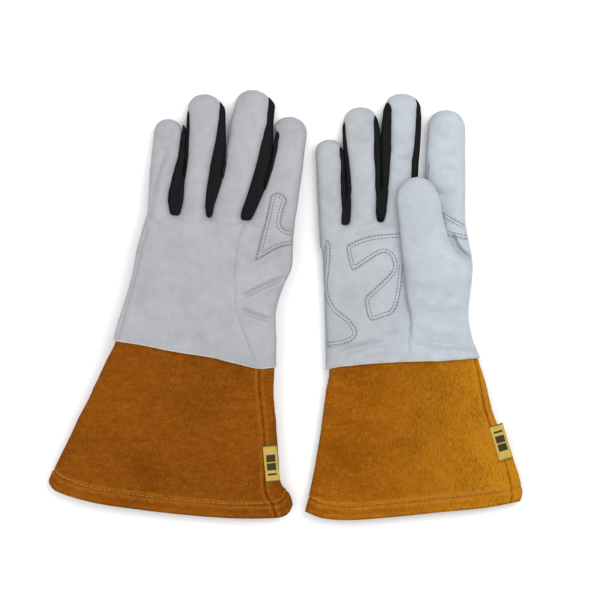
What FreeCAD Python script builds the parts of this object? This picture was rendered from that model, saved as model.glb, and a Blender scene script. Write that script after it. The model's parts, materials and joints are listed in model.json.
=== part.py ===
import FreeCAD, Part
import Sketcher
import math
import os

# A pair of TIG welding gloves lying flat, fingers towards +Y.
# The left glove (-X) lies back up on its own thumb; the right glove (+X) lies palm up with its
# thumb folded over the palm. Both are one pattern, mirrored top to bottom.
# Frame: +Z up, millimetres, origin on the floor in the middle of the pair.

DIGITS = ("pinky", "ring", "middle", "index")

SIZES = {
    # leathers
    "leather": 1.2,
    "suede": 1.6,
    "patch_leather": 1.0,
    "label_cloth": 0.8,
    # depths of the flattened tubes, and the rounding of their folded edges
    "hand_depth": 16,
    "finger_depth": 14,
    "thumb_depth": 12,
    "cuff_depth": 15,
    "hand_round": 5,
    "finger_round": 4.5,
    "thumb_round": 4,
    "cuff_round": 5,
    # room between pieces that move
    "joint_gap": 0.6,
    "crotch_gap": 1.0,
    "thumb_clearance": 0.6,
    # digits: width where they leave the hand, width at the tip, length, place of the bend
    "pinky_width": 20.5,
    "pinky_tip": 20,
    "pinky_length": 74,
    "pinky_bend": 30,
    "ring_width": 26.5,
    "ring_tip": 26.5,
    "ring_length": 94,
    "ring_bend": 37,
    "middle_width": 30,
    "middle_tip": 28.5,
    "middle_length": 101,
    "middle_bend": 39,
    "index_width": 35,
    "index_tip": 26,
    "index_length": 87,
    "index_bend": 36.5,
    "thumb_width": 35,
    "thumb_tip": 31,
    "thumb_length": 92,
    "finger_root": 8,
    # black side strips
    "strip_height": 7,
    "strip_stop": 13,
    "web_length": 3,
    # thumb base, a ramp from the wrist up to the thumb
    "ramp_length": 30,
    "ramp_toe": 1.5,
    "thumb_hole_length": 18,
    "thumb_hole_start": 5,
    # patch on the index root
    "index_patch_start": 3,
    "index_patch_end": 24,
    "index_patch_reach": 6,
    # cuff
    "hem_height": 12,
    "gusset_top": 14,
    "gusset_hem": 17,
    "label_width": 11,
    "label_length": 29,
    "label_drop": 62,
    "label_turn": 13,
    # back seam: how far left of the crotch it bows, and where it meets the wrist
    "seam_bow": 8,
    "seam_wrist": 15,
}

# Where each glove's parts lie. Finger roots: Y and lean (degrees clockwise) of each digit.
# Cuff outline: from the middle of the wrist, X along the wrist line.
LAY = {
    "left": {
        "knuckle_start": -108.5,
        "pinky_root": 74, "pinky_lean": 5.0,
        "ring_root": 74.3, "ring_lean": 7.3,
        "middle_root": 71.8, "middle_lean": 11.6,
        "index_root": 64.2, "index_lean": 11.2,
        "wrist_across": -70, "wrist_along": -38.6, "wrist_width": 127, "wrist_turn": -9.1,
        "ulnar_across": -10.5, "ulnar_along": -40,
        "radial_across": 0.5, "radial_along": -36,
        "heel_across": -9, "heel_along": -68,
        "thumb_across": -38, "thumb_along": -11, "thumb_lean": 3,
        "hem_ulnar_across": -100, "hem_ulnar_along": -118,
        "hem_low_across": 18, "hem_low_along": -127,
        "hem_radial_across": 94, "hem_radial_along": -104,
        "cuff_side_across": 80, "cuff_side_along": -90,
    },
    "right": {
        "knuckle_start": 27.5,
        "pinky_root": 57.8, "pinky_lean": -2.4,
        "ring_root": 63.3, "ring_lean": -1.7,
        "middle_root": 67.3, "middle_lean": 1.0,
        "index_root": 68.1, "index_lean": 1.8,
        "wrist_across": 94.3, "wrist_along": -46.2, "wrist_width": 121, "wrist_turn": 3.8,
        "ulnar_across": 2.5, "ulnar_along": -45,
        "radial_across": 5, "radial_along": -36,
        "heel_across": 3, "heel_along": -78,
        "thumb_across": 113.5, "thumb_along": 9, "thumb_lean": -5.4,
        "hem_ulnar_across": -85, "hem_ulnar_along": -114,
        "hem_low_across": -45, "hem_low_along": -121,
        "hem_radial_across": 87, "hem_radial_along": -115,
        "cuff_side_across": 71, "cuff_side_along": -58,
    },
}

# Patch outlines on the palm, as shares of the palm: across from the pinky side, down from
# the knuckles.
PALM_PATCH = (
    (0.54, 0.03), (0.24, 0.08), (0.19, 0.13), (0.22, 0.29), (0.41, 0.18), (0.50, 0.24),
    (0.31, 0.49), (0.32, 0.57), (0.43, 0.64), (0.55, 0.46),
)
HEEL_PATCH = (
    (0.06, 0.07), (0.09, 0.18), (0.07, 0.38), (0.09, 0.53), (0.20, 0.66), (0.25, 0.78),
    (0.17, 0.86), (0.07, 0.88),
)

doc = FreeCAD.newDocument("welding_gloves")
sheet = doc.addObject("Spreadsheet::Sheet", "Sizes")
for side, places in LAY.items():
    SIZES.update({f"{side}_{name}": value for name, value in places.items()})
for row, (name, value) in enumerate(SIZES.items(), start=1):
    sheet.set(f"A{row}", name)
    sheet.set(f"B{row}", str(value))
    sheet.setAlias(f"B{row}", name)
doc.recompute()


def size(name):
    """The value of one cell of the sheet."""
    return float(sheet.get(name))


def cell(name):
    """The cell's name in an expression."""
    return f"Sizes.{name}"


# ---------------------------------------------------------------- outlines


def turned(point, degrees):
    """A plan point turned clockwise about the origin."""
    c, s = math.cos(math.radians(degrees)), math.sin(math.radians(degrees))
    return (point[0] * c + point[1] * s, -point[0] * s + point[1] * c)


def moved(point, to):
    return (point[0] + to[0], point[1] + to[1])


def inset(points, amount):
    """A closed clockwise outline with every edge moved inwards by amount."""
    edges = []
    for here, there in zip(points, points[1:] + points[:1]):
        run = (there[0] - here[0], there[1] - here[1])
        length = math.hypot(*run)
        inward = (run[1] / length, -run[0] / length)
        edges.append((moved(here, (inward[0] * amount, inward[1] * amount)), run))
    found = []
    for (p, d), (q, e) in zip(edges[-1:] + edges[:-1], edges):
        turn = d[0] * e[1] - d[1] * e[0]
        along = ((q[0] - p[0]) * e[1] - (q[1] - p[1]) * e[0]) / turn
        found.append((p[0] + d[0] * along, p[1] + d[1] * along))
    return found


# ---------------------------------------------------------------- features


def origin_plane(body, role):
    return next(o for o in body.Origin.OriginFeatures if o.Role == role)


def start_body(name, role, lift="0"):
    """A body and an empty sketch on one of its own origin planes, lifted by an expression."""
    body = doc.addObject("PartDesign::Body", name)
    sketch = body.newObject("Sketcher::SketchObject", f"{name}_outline")
    sketch.AttachmentSupport = [(origin_plane(body, role), "")]
    sketch.MapMode = "FlatFace"
    sketch.setExpression("AttachmentOffset.Base.z", lift)
    return body, sketch


def pad(body, sketch, length, midplane=False):
    feature = body.newObject("PartDesign::Pad", f"{body.Name}_pad")
    feature.Profile = sketch
    feature.Midplane = midplane
    feature.setExpression("Length", length)
    doc.recompute()
    return feature


def round_edges(body, feature, radius, wanted):
    """Rounds the flat outline edges of a pad whose middle point is wanted."""
    names = []
    for number, edge in enumerate(feature.Shape.Edges, start=1):
        low, high = edge.BoundBox.ZMin, edge.BoundBox.ZMax
        if high - low < 1e-6 and wanted(edge.valueAt(edge.getParameterByLength(edge.Length / 2))):
            names.append(f"Edge{number}")
    fillet = body.newObject("PartDesign::Fillet", f"{body.Name}_round")
    fillet.Base = (feature, names)
    fillet.setExpression("Radius", radius)
    doc.recompute()
    return fillet


def draw_polygon(sketch, points):
    for here, there in zip(points, points[1:] + points[:1]):
        line = Part.LineSegment(FreeCAD.Vector(*here, 0), FreeCAD.Vector(*there, 0))
        sketch.addGeometry(line, False)


def prism(name, points, low, depth, role="XY_Plane", midplane=False):
    """A straight prism on a polygon; low and depth are expressions."""
    body, sketch = start_body(name, role, low)
    draw_polygon(sketch, points)
    pad(body, sketch, depth, midplane)
    return body


def block(name, x, y, z):
    """A box from pairs of expressions, low and high."""
    box = doc.addObject("Part::Box", name)
    for side, axis, (low, high) in zip(("Length", "Width", "Height"), "xyz", (x, y, z)):
        box.setExpression(side, f"({high}) - ({low})")
        box.setExpression(f"Placement.Base.{axis}", low)
    return box


def fused(name, *shapes):
    feature = doc.addObject("Part::MultiFuse", name)
    feature.Shapes = list(shapes)
    return feature


def shared(name, *shapes):
    feature = doc.addObject("Part::MultiCommon", name)
    feature.Shapes = list(shapes)
    return feature


def cut(name, base, *tools):
    for number, tool in enumerate(tools[:-1], start=1):
        step = doc.addObject("Part::Cut", f"{name}_step{number}")
        step.Base, step.Tool = base, tool
        base = step
    feature = doc.addObject("Part::Cut", name)
    feature.Base, feature.Tool = base, tools[-1]
    return feature


def placed(feature, place):
    """Puts a feature made in its own frame where it lies."""
    doc.recompute()
    feature.Placement = place
    return feature


def copied(name, source, place):
    """A copy of a feature, moved from its own frame to where it lies."""
    doc.recompute()
    feature = doc.addObject("Part::Feature", name)
    feature.Shape = source.Shape
    feature.Placement = place.multiply(feature.Placement)
    return feature


parts = {}


def keep(node, feature):
    """Records a finished sub-part under the name that a person would use."""
    feature.Label = node
    parts[node] = feature
    return feature


# ---------------------------------------------------------------- digits


def digit_solid(name, digit, depth, wall, root):
    """One digit's flattened tube: straight sides to a round tip. wall and root are expressions."""
    body, sketch = start_body(name, "XY_Plane", wall)
    half, tip, length = size(f"{digit}_width") / 2, size(f"{digit}_tip") / 2, size(f"{digit}_length")
    corners = [(-half, -1), (half, -1), (tip, length - tip), (-tip, length - tip)]
    base, right, left = ((corners[a], corners[b]) for a, b in ((0, 1), (1, 2), (3, 0)))
    for here, there in (base, right, left):
        line = Part.LineSegment(FreeCAD.Vector(*here, 0), FreeCAD.Vector(*there, 0))
        sketch.addGeometry(line, False)
    circle = Part.Circle(FreeCAD.Vector(0, length - tip, 0), FreeCAD.Vector(0, 0, 1), tip)
    sketch.addGeometry(Part.ArcOfCircle(circle, 0, math.pi), False)
    base_line, right_line, left_line, tip_arc, origin, upright = 0, 1, 2, 3, -1, -2
    sketch.addConstraint(
        [
            Sketcher.Constraint("Coincident", base_line, 2, right_line, 1),
            Sketcher.Constraint("Coincident", right_line, 2, tip_arc, 1),
            Sketcher.Constraint("Coincident", tip_arc, 2, left_line, 1),
            Sketcher.Constraint("Coincident", left_line, 2, base_line, 1),
            Sketcher.Constraint("Symmetric", base_line, 1, base_line, 2, upright),
            Sketcher.Constraint("PointOnObject", tip_arc, 3, upright),
            Sketcher.Constraint("Horizontal", tip_arc, 3, tip_arc, 1),
            Sketcher.Constraint("Horizontal", tip_arc, 3, tip_arc, 2),
        ]
    )
    bound = {
        "width": (
            Sketcher.Constraint("DistanceX", base_line, 1, base_line, 2, 2 * half),
            f"{cell(digit + '_width')} - 2 * ({wall})",
        ),
        "tip": (
            Sketcher.Constraint("Radius", tip_arc, tip),
            f"{cell(digit + '_tip')} / 2 - ({wall})",
        ),
        "reach": (
            Sketcher.Constraint("DistanceY", origin, 1, tip_arc, 3, length - tip),
            f"{cell(digit + '_length')} - {cell(digit + '_tip')} / 2",
        ),
        "root": (Sketcher.Constraint("DistanceY", base_line, 1, origin, 1, 1), root),
    }
    for meaning, (constraint, expression) in bound.items():
        sketch.renameConstraint(sketch.addConstraint(constraint), meaning)
        sketch.setExpression(f"Constraints.{meaning}", expression)
    solid = pad(body, sketch, f"{depth} - 2 * ({wall})")
    rounding = "thumb_round" if digit == "thumb" else "finger_round"
    past_root = solid.Shape.BoundBox.YMin + size("leather") / 2
    round_edges(body, solid, f"{cell(rounding)} - ({wall})", lambda point: point.y > past_root)
    return body


class Digit:
    """A digit in its own frame: +Y to the tip, Z = 0 at its lower face, Y = 0 at its root."""

    def __init__(self, side, digit):
        self.name = f"{side}_{digit}"
        self.digit = digit
        thumb = digit == "thumb"
        self.depth = cell("thumb_depth" if thumb else "finger_depth")
        self.bend = cell("joint_gap") if thumb else cell(f"{digit}_bend")
        root = "0" if thumb else cell("finger_root")
        leather = cell("leather")
        self.outer = digit_solid(f"{self.name}_outer", digit, self.depth, "0", root)
        self.inner = digit_solid(
            f"{self.name}_inner", digit, self.depth, leather, f"{root} + {cell('finger_root')}"
        )
        self.shell = cut(f"{self.name}_shell", self.outer, self.inner)
        self.wide = cell(f"{digit}_width")
        self.long = cell(f"{digit}_length")

    def region(self, name, x=None, y=None, z=None):
        """A box over part of the digit; a direction left out is the whole digit."""
        return block(
            f"{self.name}_{name}",
            x or (f"-{self.wide}", self.wide),
            y or (f"-{self.wide}", f"{self.long} + 1"),
            z or ("-1", f"{self.depth} + 1"),
        )

    def stretch(self, part):
        """The Y range of the root part or of the moving part, either side of the bend."""
        if part == "root":
            return (f"-{cell('finger_root')}", f"{self.bend} - {cell('joint_gap')} / 2")
        return (f"{self.bend} + {cell('joint_gap')} / 2", f"{self.long} + 1")

    def strip_box(self, part, hand):
        """The black strip's room on one side of the digit."""
        low, high = self.stretch(part)
        if part == "moving":
            high = f"{self.long} - {cell('strip_stop')}"
        across = (f"-{self.wide}", "0") if hand == "left" else ("0", self.wide)
        middle = f"{self.depth} / 2"
        half = f"{cell('strip_height')} / 2"
        return self.region(
            f"{part}_{hand}_strip_room", across, (low, high), (f"{middle} - {half}", f"{middle} + {half}")
        )

    def half_box(self, part, level):
        middle = f"{self.depth} / 2"
        height = (middle, f"{self.depth} + 1") if level == "upper" else ("-1", middle)
        return self.region(f"{part}_{level}_room", None, self.stretch(part), height)


STRIP_SIDES = {
    "pinky": ("right",),
    "ring": ("left", "right"),
    "middle": ("left", "right"),
    "index": ("left",),
    "thumb": (),
}


def digit_pieces(item, part, levels):
    """Back, front and strips of one stretch of a digit, in the digit's own frame."""
    label = f"{item.name}_{part}"
    rooms = {hand: item.strip_box(part, hand) for hand in STRIP_SIDES[item.digit]}
    found = {}
    for hand, room in rooms.items():
        found[f"{hand}_strip"] = shared(f"{label}_{hand}_strip", item.shell, room)
    if item.digit == "index":
        whole = item.region(f"{part}_room", None, item.stretch(part))
        piece = shared(f"{label}_wrap_whole", item.shell, whole)
        found["wrap"] = cut(f"{label}_wrap", piece, *rooms.values())
        return found
    for name, level in levels.items():
        piece = shared(f"{label}_{name}_whole", item.shell, item.half_box(part, level))
        found[name] = cut(f"{label}_{name}", piece, *rooms.values()) if rooms else piece
    return found


# ---------------------------------------------------------------- gloves


def knuckles(side):
    """The middle of each finger's root, from the pinky to the index, and the crotches between."""
    across = size(f"{side}_knuckle_start")
    middles, crotches, corner = {}, [], None
    for digit in DIGITS:
        half = size(f"{digit}_width") / 2
        middle = (across + half, size(f"{side}_{digit}_root"))
        lean = size(f"{side}_{digit}_lean")
        left, right = (moved(middle, turned((x, 0), lean)) for x in (-half, half))
        crotches.append(left if corner is None else ((corner[0] + left[0]) / 2, (corner[1] + left[1]) / 2))
        corner = right
        middles[digit] = middle
        across += 2 * half + size("crotch_gap")
    return middles, crotches + [corner]


def raised(side):
    """How far the hand lies above the floor: the left one lies on its own thumb."""
    if side == "right":
        return 0.0
    return size("thumb_depth") + size("patch_leather") + size("thumb_clearance")


def wrist_middle(side):
    return (size(f"{side}_wrist_across"), size(f"{side}_wrist_along"))


def laid(point, lean, height, droop=0.0):
    """A frame at a plan point, turned clockwise by lean, its +Y end drooping."""
    spin = FreeCAD.Rotation(FreeCAD.Vector(0, 0, 1), -lean)
    dip = FreeCAD.Rotation(FreeCAD.Vector(1, 0, 0), -droop)
    return FreeCAD.Placement(FreeCAD.Vector(*point, height), spin.multiply(dip))


def resting_places(side):
    """The frame of the hand, of each digit and of the cuff. Tips and hem rest on the floor."""
    height = raised(side)
    middles, _ = knuckles(side)
    places = {"hand": laid((0, 0), 0, height)}
    for digit, middle in middles.items():
        droop = math.degrees(math.asin(height / size(f"{digit}_length")))
        places[digit] = laid(middle, size(f"{side}_{digit}_lean"), height, droop)
    root = (size(f"{side}_thumb_across"), size(f"{side}_thumb_along"))
    palm_face = size("hand_depth") + size("patch_leather") + size("thumb_clearance")
    thumb_height = 0.0 if height else palm_face
    places["thumb"] = laid(root, size(f"{side}_thumb_lean"), thumb_height)
    reach = -min(size(f"{side}_hem_{name}_along") for name in ("ulnar", "radial", "low"))
    cuff_droop = -math.degrees(math.asin(height / reach))
    places["cuff"] = laid(wrist_middle(side), -size(f"{side}_wrist_turn"), height, cuff_droop)
    return places


def build_glove(side, palm):
    """One glove. palm is the level of the palm's face, upper or lower."""
    back = "lower" if palm == "upper" else "upper"
    levels = {"back": back, "front": palm}
    leather, depth = size("leather"), size("hand_depth")
    under = raised(side)
    places = resting_places(side)

    # hand: a flat tube open at the wrist
    _, crotches = knuckles(side)
    wrist = wrist_middle(side)
    wrist_turn = -size(f"{side}_wrist_turn")
    half_wrist = size(f"{side}_wrist_width") / 2
    wrist_left, wrist_right = (moved(wrist, turned((x, 0), wrist_turn)) for x in (-half_wrist, half_wrist))
    ulnar = moved(crotches[0], (size(f"{side}_ulnar_across"), size(f"{side}_ulnar_along")))
    radial, heel = (
        moved(crotches[-1], (size(f"{side}_{name}_across"), size(f"{side}_{name}_along")))
        for name in ("radial", "heel")
    )
    outline = [wrist_left, ulnar, *crotches, radial, heel, wrist_right]
    ulnar_side = (wrist_left, ulnar, crotches[0])
    radial_side = (crotches[-1], radial, heel, wrist_right)
    sides = [
        ((a[0] + b[0]) / 2, (a[1] + b[1]) / 2)
        for chain in (ulnar_side, radial_side)
        for a, b in zip(chain, chain[1:])
    ]

    def on_side(point):
        reach = 2 * leather
        return any(math.hypot(point.x - x, point.y - y) < reach for x, y in sides)

    def hand_tube(name, points, wall):
        body = prism(name, points, wall, f"{cell('hand_depth')} - 2 * ({wall})")
        rounding = f"{cell('hand_round')} - ({wall})"
        round_edges(body, body.Tip, rounding, on_side)
        return body

    outer = hand_tube(f"{side}_hand_outer", outline, "0")
    within = inset(outline, leather)
    past_wrist = turned((0, -3 * leather), wrist_turn)
    within[0], within[-1] = moved(within[0], past_wrist), moved(within[-1], past_wrist)
    cavity = hand_tube(f"{side}_hand_inner", within, cell("leather"))

    fingers = {digit: Digit(side, digit) for digit in DIGITS}
    placed(outer, places["hand"])
    placed(cavity, places["hand"])

    # the moving part of each finger
    for digit, item in fingers.items():
        for name, piece in digit_pieces(item, "moving", levels).items():
            node = f"{side}_{digit}_{name}"
            if digit in ("pinky", "index") and name.endswith("strip"):
                node = f"{side}_{digit}_strip"
            keep(node, placed(piece, places[digit]))

    # finger roots, which belong to the hand
    roots = {}
    hollows = [cavity]
    for digit, item in fingers.items():
        for name, piece in digit_pieces(item, "root", levels).items():
            roots[digit, name] = placed(piece, places[digit])
        hollows.append(copied(f"{side}_{digit}_hollow", item.inner, places[digit]))

    # the back of the hand ends at one long seam from the middle crotch to the wrist
    seam_top = crotches[3]
    seam_foot = moved(wrist_right, turned((-size("seam_wrist"), 0), wrist_turn))
    seam_middle = (seam_top[0] - size("seam_bow"), (seam_top[1] + seam_foot[1]) / 2)
    beyond = size("index_width") * 2
    seam_side = [
        moved(seam_foot, (0, -beyond)), seam_foot, seam_middle, seam_top, moved(seam_top, (0, beyond)),
        (crotches[-1][0] + beyond, seam_top[1] + beyond), (wrist_right[0] + beyond, seam_foot[1] - beyond),
    ]
    side_room = prism(f"{side}_side_room", seam_side, "-50", "100")
    wide = "1000"
    middle_level = f"{under} + {cell('hand_depth')} / 2"
    if back == "upper":
        back_level = (middle_level, f"{middle_level} + {wide}")
    else:
        back_level = (f"{middle_level} - {wide}", middle_level)
    back_room = block(f"{side}_back_room", (f"-{wide}", wide), (f"-{wide}", wide), back_level)
    back_whole = cut(f"{side}_back_whole", shared(f"{side}_back_half", outer, back_room), side_room)
    palm_whole = cut(f"{side}_palm_whole", outer, back_whole)

    backs = [roots[d, "back"] for d in DIGITS[:3]]
    fronts = [roots[d, "front"] for d in DIGITS[:3]] + [roots["index", "wrap"]]
    back_panel = cut(f"{side}_back", fused(f"{side}_back_joined", back_whole, *backs), *hollows)
    keep(f"{side}_back_panel", back_panel)

    # thumb base: a ramp on the palm that opens into the hand
    ramp, hole = thumb_ramp(side, palm)
    keep(f"{side}_thumb_base", placed(ramp, places["thumb"]))
    hole = copied(f"{side}_thumb_hole", hole, places["thumb"])

    palm_joined = fused(f"{side}_palm_joined", palm_whole, *fronts)
    palm_panel = cut(f"{side}_palm", palm_joined, *hollows, back_panel, hole)
    keep(f"{side}_palm_panel", palm_panel)

    # black strips run down one finger, round the crotch and up the next
    for number, (one, other) in enumerate(zip(DIGITS, DIGITS[1:]), start=1):
        half_web = f"({cell('crotch_gap')} / 2 + {cell('leather')} * 1.5)"
        level = f"{cell('finger_depth')} / 2"
        half = f"{cell('strip_height')} / 2"
        web = block(
            f"{side}_{one}_{other}_web",
            (f"-{half_web}", half_web),
            ("0", cell("web_length")),
            (f"{level} - {half}", f"{level} + {half}"),
        )
        web_lean = (size(f"{side}_{one}_lean") + size(f"{side}_{other}_lean")) / 2
        spot = copied(f"{web.Name}_there", web, laid(crotches[number], web_lean, under))
        joined = fused(
            f"{side}_{one}_{other}_joined", roots[one, "right_strip"], roots[other, "left_strip"], spot
        )
        strip = cut(f"{side}_{one}_{other}", joined, *hollows, back_panel, palm_panel)
        keep(f"{side}_{one}_{other}_crotch_strip", strip)

    # patches on the palm and round the index root
    face = f"{under} - {cell('patch_leather')}" if palm == "lower" else f"{under} + {cell('hand_depth')}"
    palm_width = crotches[-1][0] - crotches[0][0]
    palm_length = crotches[0][1] - wrist_left[1]
    for name, shares in (("palm_patch", PALM_PATCH), ("heel_patch", HEEL_PATCH)):
        points = [
            (
                crotches[0][0] + x * palm_width - y * (crotches[0][0] - wrist_left[0]),
                crotches[0][1] - y * palm_length,
            )
            for x, y in shares
        ]
        patch = prism(f"{side}_{name}_solid", points, face, cell("patch_leather"))
        keep(f"{side}_{name}", patch)
    wrap = index_patch(fingers["index"], palm)
    keep(f"{side}_index_patch", placed(wrap, places["index"]))

    # thumb
    thumb = Digit(side, "thumb")
    swapped = {"back": palm, "front": back}
    for name, piece in digit_pieces(thumb, "moving", swapped).items():
        keep(f"{side}_thumb_{name}", placed(piece, places["thumb"]))

    # cuff
    panel, gusset, label, label_place = cuff_pieces(side)
    keep(f"{side}_cuff_panel", placed(panel, places["cuff"]))
    keep(f"{side}_cuff_gusset", placed(gusset, places["cuff"]))
    label_place = places["cuff"].multiply(label_place)
    keep(f"{side}_cuff_label", copied(f"{side}_label", label, label_place))


def thumb_ramp(side, palm):
    """The ramp, its hollow and the hole in the palm below it, in the thumb's frame."""
    name = f"{side}_thumb_base"
    depth, length, wall = size("thumb_depth"), size("ramp_length"), size("leather")
    toe, gap = size("ramp_toe"), size("joint_gap") / 2
    seat = size("thumb_clearance") + size("patch_leather")
    past = seat + 3 * wall
    lip = wall * length / depth
    roof = depth - 1.05 * wall
    solid = [(-gap, -seat), (-length, -seat), (-length, toe - seat), (-gap, depth)]
    hollow = [(gap, -past), (-length + 2 * lip, -past), (-gap, roof), (gap, roof)]
    if palm == "lower":
        solid, hollow = ([(y, depth - z) for y, z in points] for points in (solid, hollow))
    outer = prism(f"{name}_outer", solid, "0", cell("thumb_width"), "YZ_Plane", True)
    inner_width = f"{cell('thumb_width')} - 2 * {cell('leather')}"
    inner = prism(f"{name}_inner", hollow, "0", inner_width, "YZ_Plane", True)
    start, run = cell("thumb_hole_start"), cell("thumb_hole_length")
    half = f"({cell('thumb_width')} / 2 - 2 * {cell('leather')})"
    through = (f"-{seat + 2 * wall}", f"-{seat} + {cell('joint_gap')} / 4") if palm == "upper" else (
        f"{depth + seat} - 0.1", f"{depth + seat + 2 * wall}"
    )
    hole = block(f"{name}_hole", (f"-{half}", half), (f"-{start} - {run}", f"-{start}"), through)
    return cut(f"{name}_shell", outer, inner), hole


def index_patch(item, palm):
    """A leather wrap round the outer side of the index root, pressed flat where it meets the floor."""
    patch = cell("patch_leather")
    grown = digit_solid(f"{item.name}_grown", "index", item.depth, f"-{patch}", cell("finger_root"))
    across = (f"-{cell('index_patch_reach')}", item.wide)
    along = (cell("index_patch_start"), cell("index_patch_end"))
    low = "0" if palm == "upper" else f"-{patch} - 1"
    room = item.region("patch_room", across, along, (low, f"{item.depth} + {patch} + 1"))
    return cut(f"{item.name}_patch", shared(f"{item.name}_patch_whole", grown, room), item.outer)


def cuff_pieces(side):
    """The cuff in its own frame: Y = 0 at the wrist, +Y to the hand, Z = 0 at its lower face."""
    half = size(f"{side}_wrist_width") / 2
    gap, wall = size("joint_gap"), size("suede")
    spots = {
        name: (size(f"{side}_{name}_across"), size(f"{side}_{name}_along"))
        for name in ("hem_ulnar", "hem_low", "hem_radial", "cuff_side")
    }
    top_left, top_right = (-half, -gap), (half, -gap)
    side_spots = [spots["hem_radial"], spots["cuff_side"]]
    outline = [top_left, top_right, *reversed(side_spots), spots["hem_low"], spots["hem_ulnar"]]
    chain = [top_right, spots["cuff_side"], spots["hem_radial"]]
    sides = [
        ((a[0] + b[0]) / 2, (a[1] + b[1]) / 2)
        for a, b in [*zip(chain, chain[1:]), (top_left, spots["hem_ulnar"])]
    ]

    def on_side(point):
        return any(math.hypot(point.x - x, point.y - y) < 6 * wall for x, y in sides)

    def tube(name, points, inner):
        body = prism(name, points, inner, f"{cell('cuff_depth')} - 2 * ({inner})")
        round_edges(body, body.Tip, f"{cell('cuff_round')} - ({inner})", on_side)
        return body

    def open_ended(amount):
        """The outline inset at its sides and run past both mouths."""
        points = inset(outline, amount)
        for number, step in ((0, 4), (1, 4), (3, -4), (4, -4), (5, -4)):
            points[number] = moved(points[number], (0, step * wall))
        return points

    outer = tube(f"{side}_cuff_outer", outline, "0")
    cavity = tube(f"{side}_cuff_inner", open_ended(wall), cell("suede"))
    hem_cavity = tube(f"{side}_cuff_hem_inner", open_ended(2 * wall), f"2 * {cell('suede')}")
    rise = size("hem_height")
    wide = 2 * half
    past_top = 10 * wall
    above = [
        (-wide, past_top),
        (wide, past_top),
        moved(spots["hem_radial"], (wide, rise)),
        moved(spots["hem_radial"], (0, rise)),
        moved(spots["hem_low"], (0, rise)),
        moved(spots["hem_ulnar"], (0, rise)),
        moved(spots["hem_ulnar"], (-wide, rise)),
    ]
    above_hem = prism(f"{side}_above_hem", above, "-1", f"{cell('cuff_depth')} + 2")
    main_cavity = shared(f"{side}_cuff_main_inner", cavity, above_hem)
    shell = cut(f"{side}_cuff_shell", outer, main_cavity, hem_cavity)
    gusset_line = [
        (half - size("gusset_top"), 4 * wall),
        moved(spots["hem_radial"], (-size("gusset_hem"), -4 * wall)),
    ]
    room = [*gusset_line[:1], (3 * half, 4 * wall), (3 * half, gusset_line[1][1]), *gusset_line[1:]]
    gusset_room = prism(f"{side}_gusset_room", room, "-1", f"{cell('cuff_depth')} + 2")
    label = block(
        f"{side}_label_cloth",
        ("0", cell("label_width")),
        (f"-{cell('label_length')}", "0"),
        ("0", cell("label_cloth")),
    )
    share = size("label_drop") / (gusset_line[0][1] - gusset_line[1][1])
    run = gusset_line[1][0] - gusset_line[0][0]
    corner = (gusset_line[0][0] + run * share, -size("label_drop"))
    turn = FreeCAD.Rotation(FreeCAD.Vector(0, 0, 1), size("label_turn"))
    return (
        cut(f"{side}_cuff_panel_solid", shell, gusset_room),
        shared(f"{side}_cuff_gusset_solid", shell, gusset_room),
        label,
        FreeCAD.Placement(FreeCAD.Vector(*corner, size("cuff_depth")), turn),
    )


build_glove("left", palm="lower")
build_glove("right", palm="upper")
doc.recompute()

# the origin: on the floor, in the middle of the pair
bounds = FreeCAD.BoundBox()
for feature in parts.values():
    bounds.add(feature.Shape.BoundBox)
to_origin = FreeCAD.Placement(
    FreeCAD.Vector(-bounds.Center.x, -bounds.Center.y, -bounds.ZMin), FreeCAD.Rotation()
)
for feature in parts.values():
    feature.Placement = to_origin.multiply(feature.Placement)

for thing in doc.Objects:
    wrong = {"Invalid", "Error"} & set(thing.State)
    if wrong:
        raise RuntimeError(f"{thing.Name} is {', '.join(wrong)}")
for node, feature in parts.items():
    shape = feature.Shape
    if shape.isNull() or not shape.isValid() or not shape.Solids:
        raise RuntimeError(f"{node} has no sound solid")

os.makedirs("parts", exist_ok=True)
for node, feature in parts.items():
    feature.Shape.exportStep(f"parts/{node}.step")
    print(f"{node}: {len(feature.Shape.Solids)} solid, {feature.Shape.Volume / 1000:.2f} cm3")
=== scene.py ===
import bmesh
import bpy
import json
import math
import numpy as np
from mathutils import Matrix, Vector, geometry, noise
from mathutils.bvhtree import BVHTree


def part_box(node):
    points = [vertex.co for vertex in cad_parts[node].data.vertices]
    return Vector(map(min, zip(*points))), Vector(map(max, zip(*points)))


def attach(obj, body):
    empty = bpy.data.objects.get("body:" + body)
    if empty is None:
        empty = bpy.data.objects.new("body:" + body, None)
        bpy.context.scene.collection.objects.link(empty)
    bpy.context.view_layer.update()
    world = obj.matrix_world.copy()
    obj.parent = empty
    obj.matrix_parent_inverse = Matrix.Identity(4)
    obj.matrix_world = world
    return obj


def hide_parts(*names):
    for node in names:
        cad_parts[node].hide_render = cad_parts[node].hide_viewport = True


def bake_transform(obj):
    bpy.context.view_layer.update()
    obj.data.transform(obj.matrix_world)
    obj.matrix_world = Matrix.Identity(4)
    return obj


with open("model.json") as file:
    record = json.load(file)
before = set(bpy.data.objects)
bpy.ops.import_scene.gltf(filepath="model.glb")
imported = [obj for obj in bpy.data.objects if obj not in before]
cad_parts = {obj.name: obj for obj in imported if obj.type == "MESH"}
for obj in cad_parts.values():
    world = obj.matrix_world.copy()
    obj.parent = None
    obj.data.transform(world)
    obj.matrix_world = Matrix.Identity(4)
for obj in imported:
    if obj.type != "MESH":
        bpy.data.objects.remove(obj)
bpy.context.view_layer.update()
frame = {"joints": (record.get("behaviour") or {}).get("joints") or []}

# A pair of TIG welding gloves. Lengths here are millimetres in the frame's own axes, and
# meshes are scaled to metres when they are made. The left glove lies back up on its folded
# thumb, and the right glove lies palm up with its thumb over the palm.
MM = 0.001

# ---------------------------------------------------------------- camera and light

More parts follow.
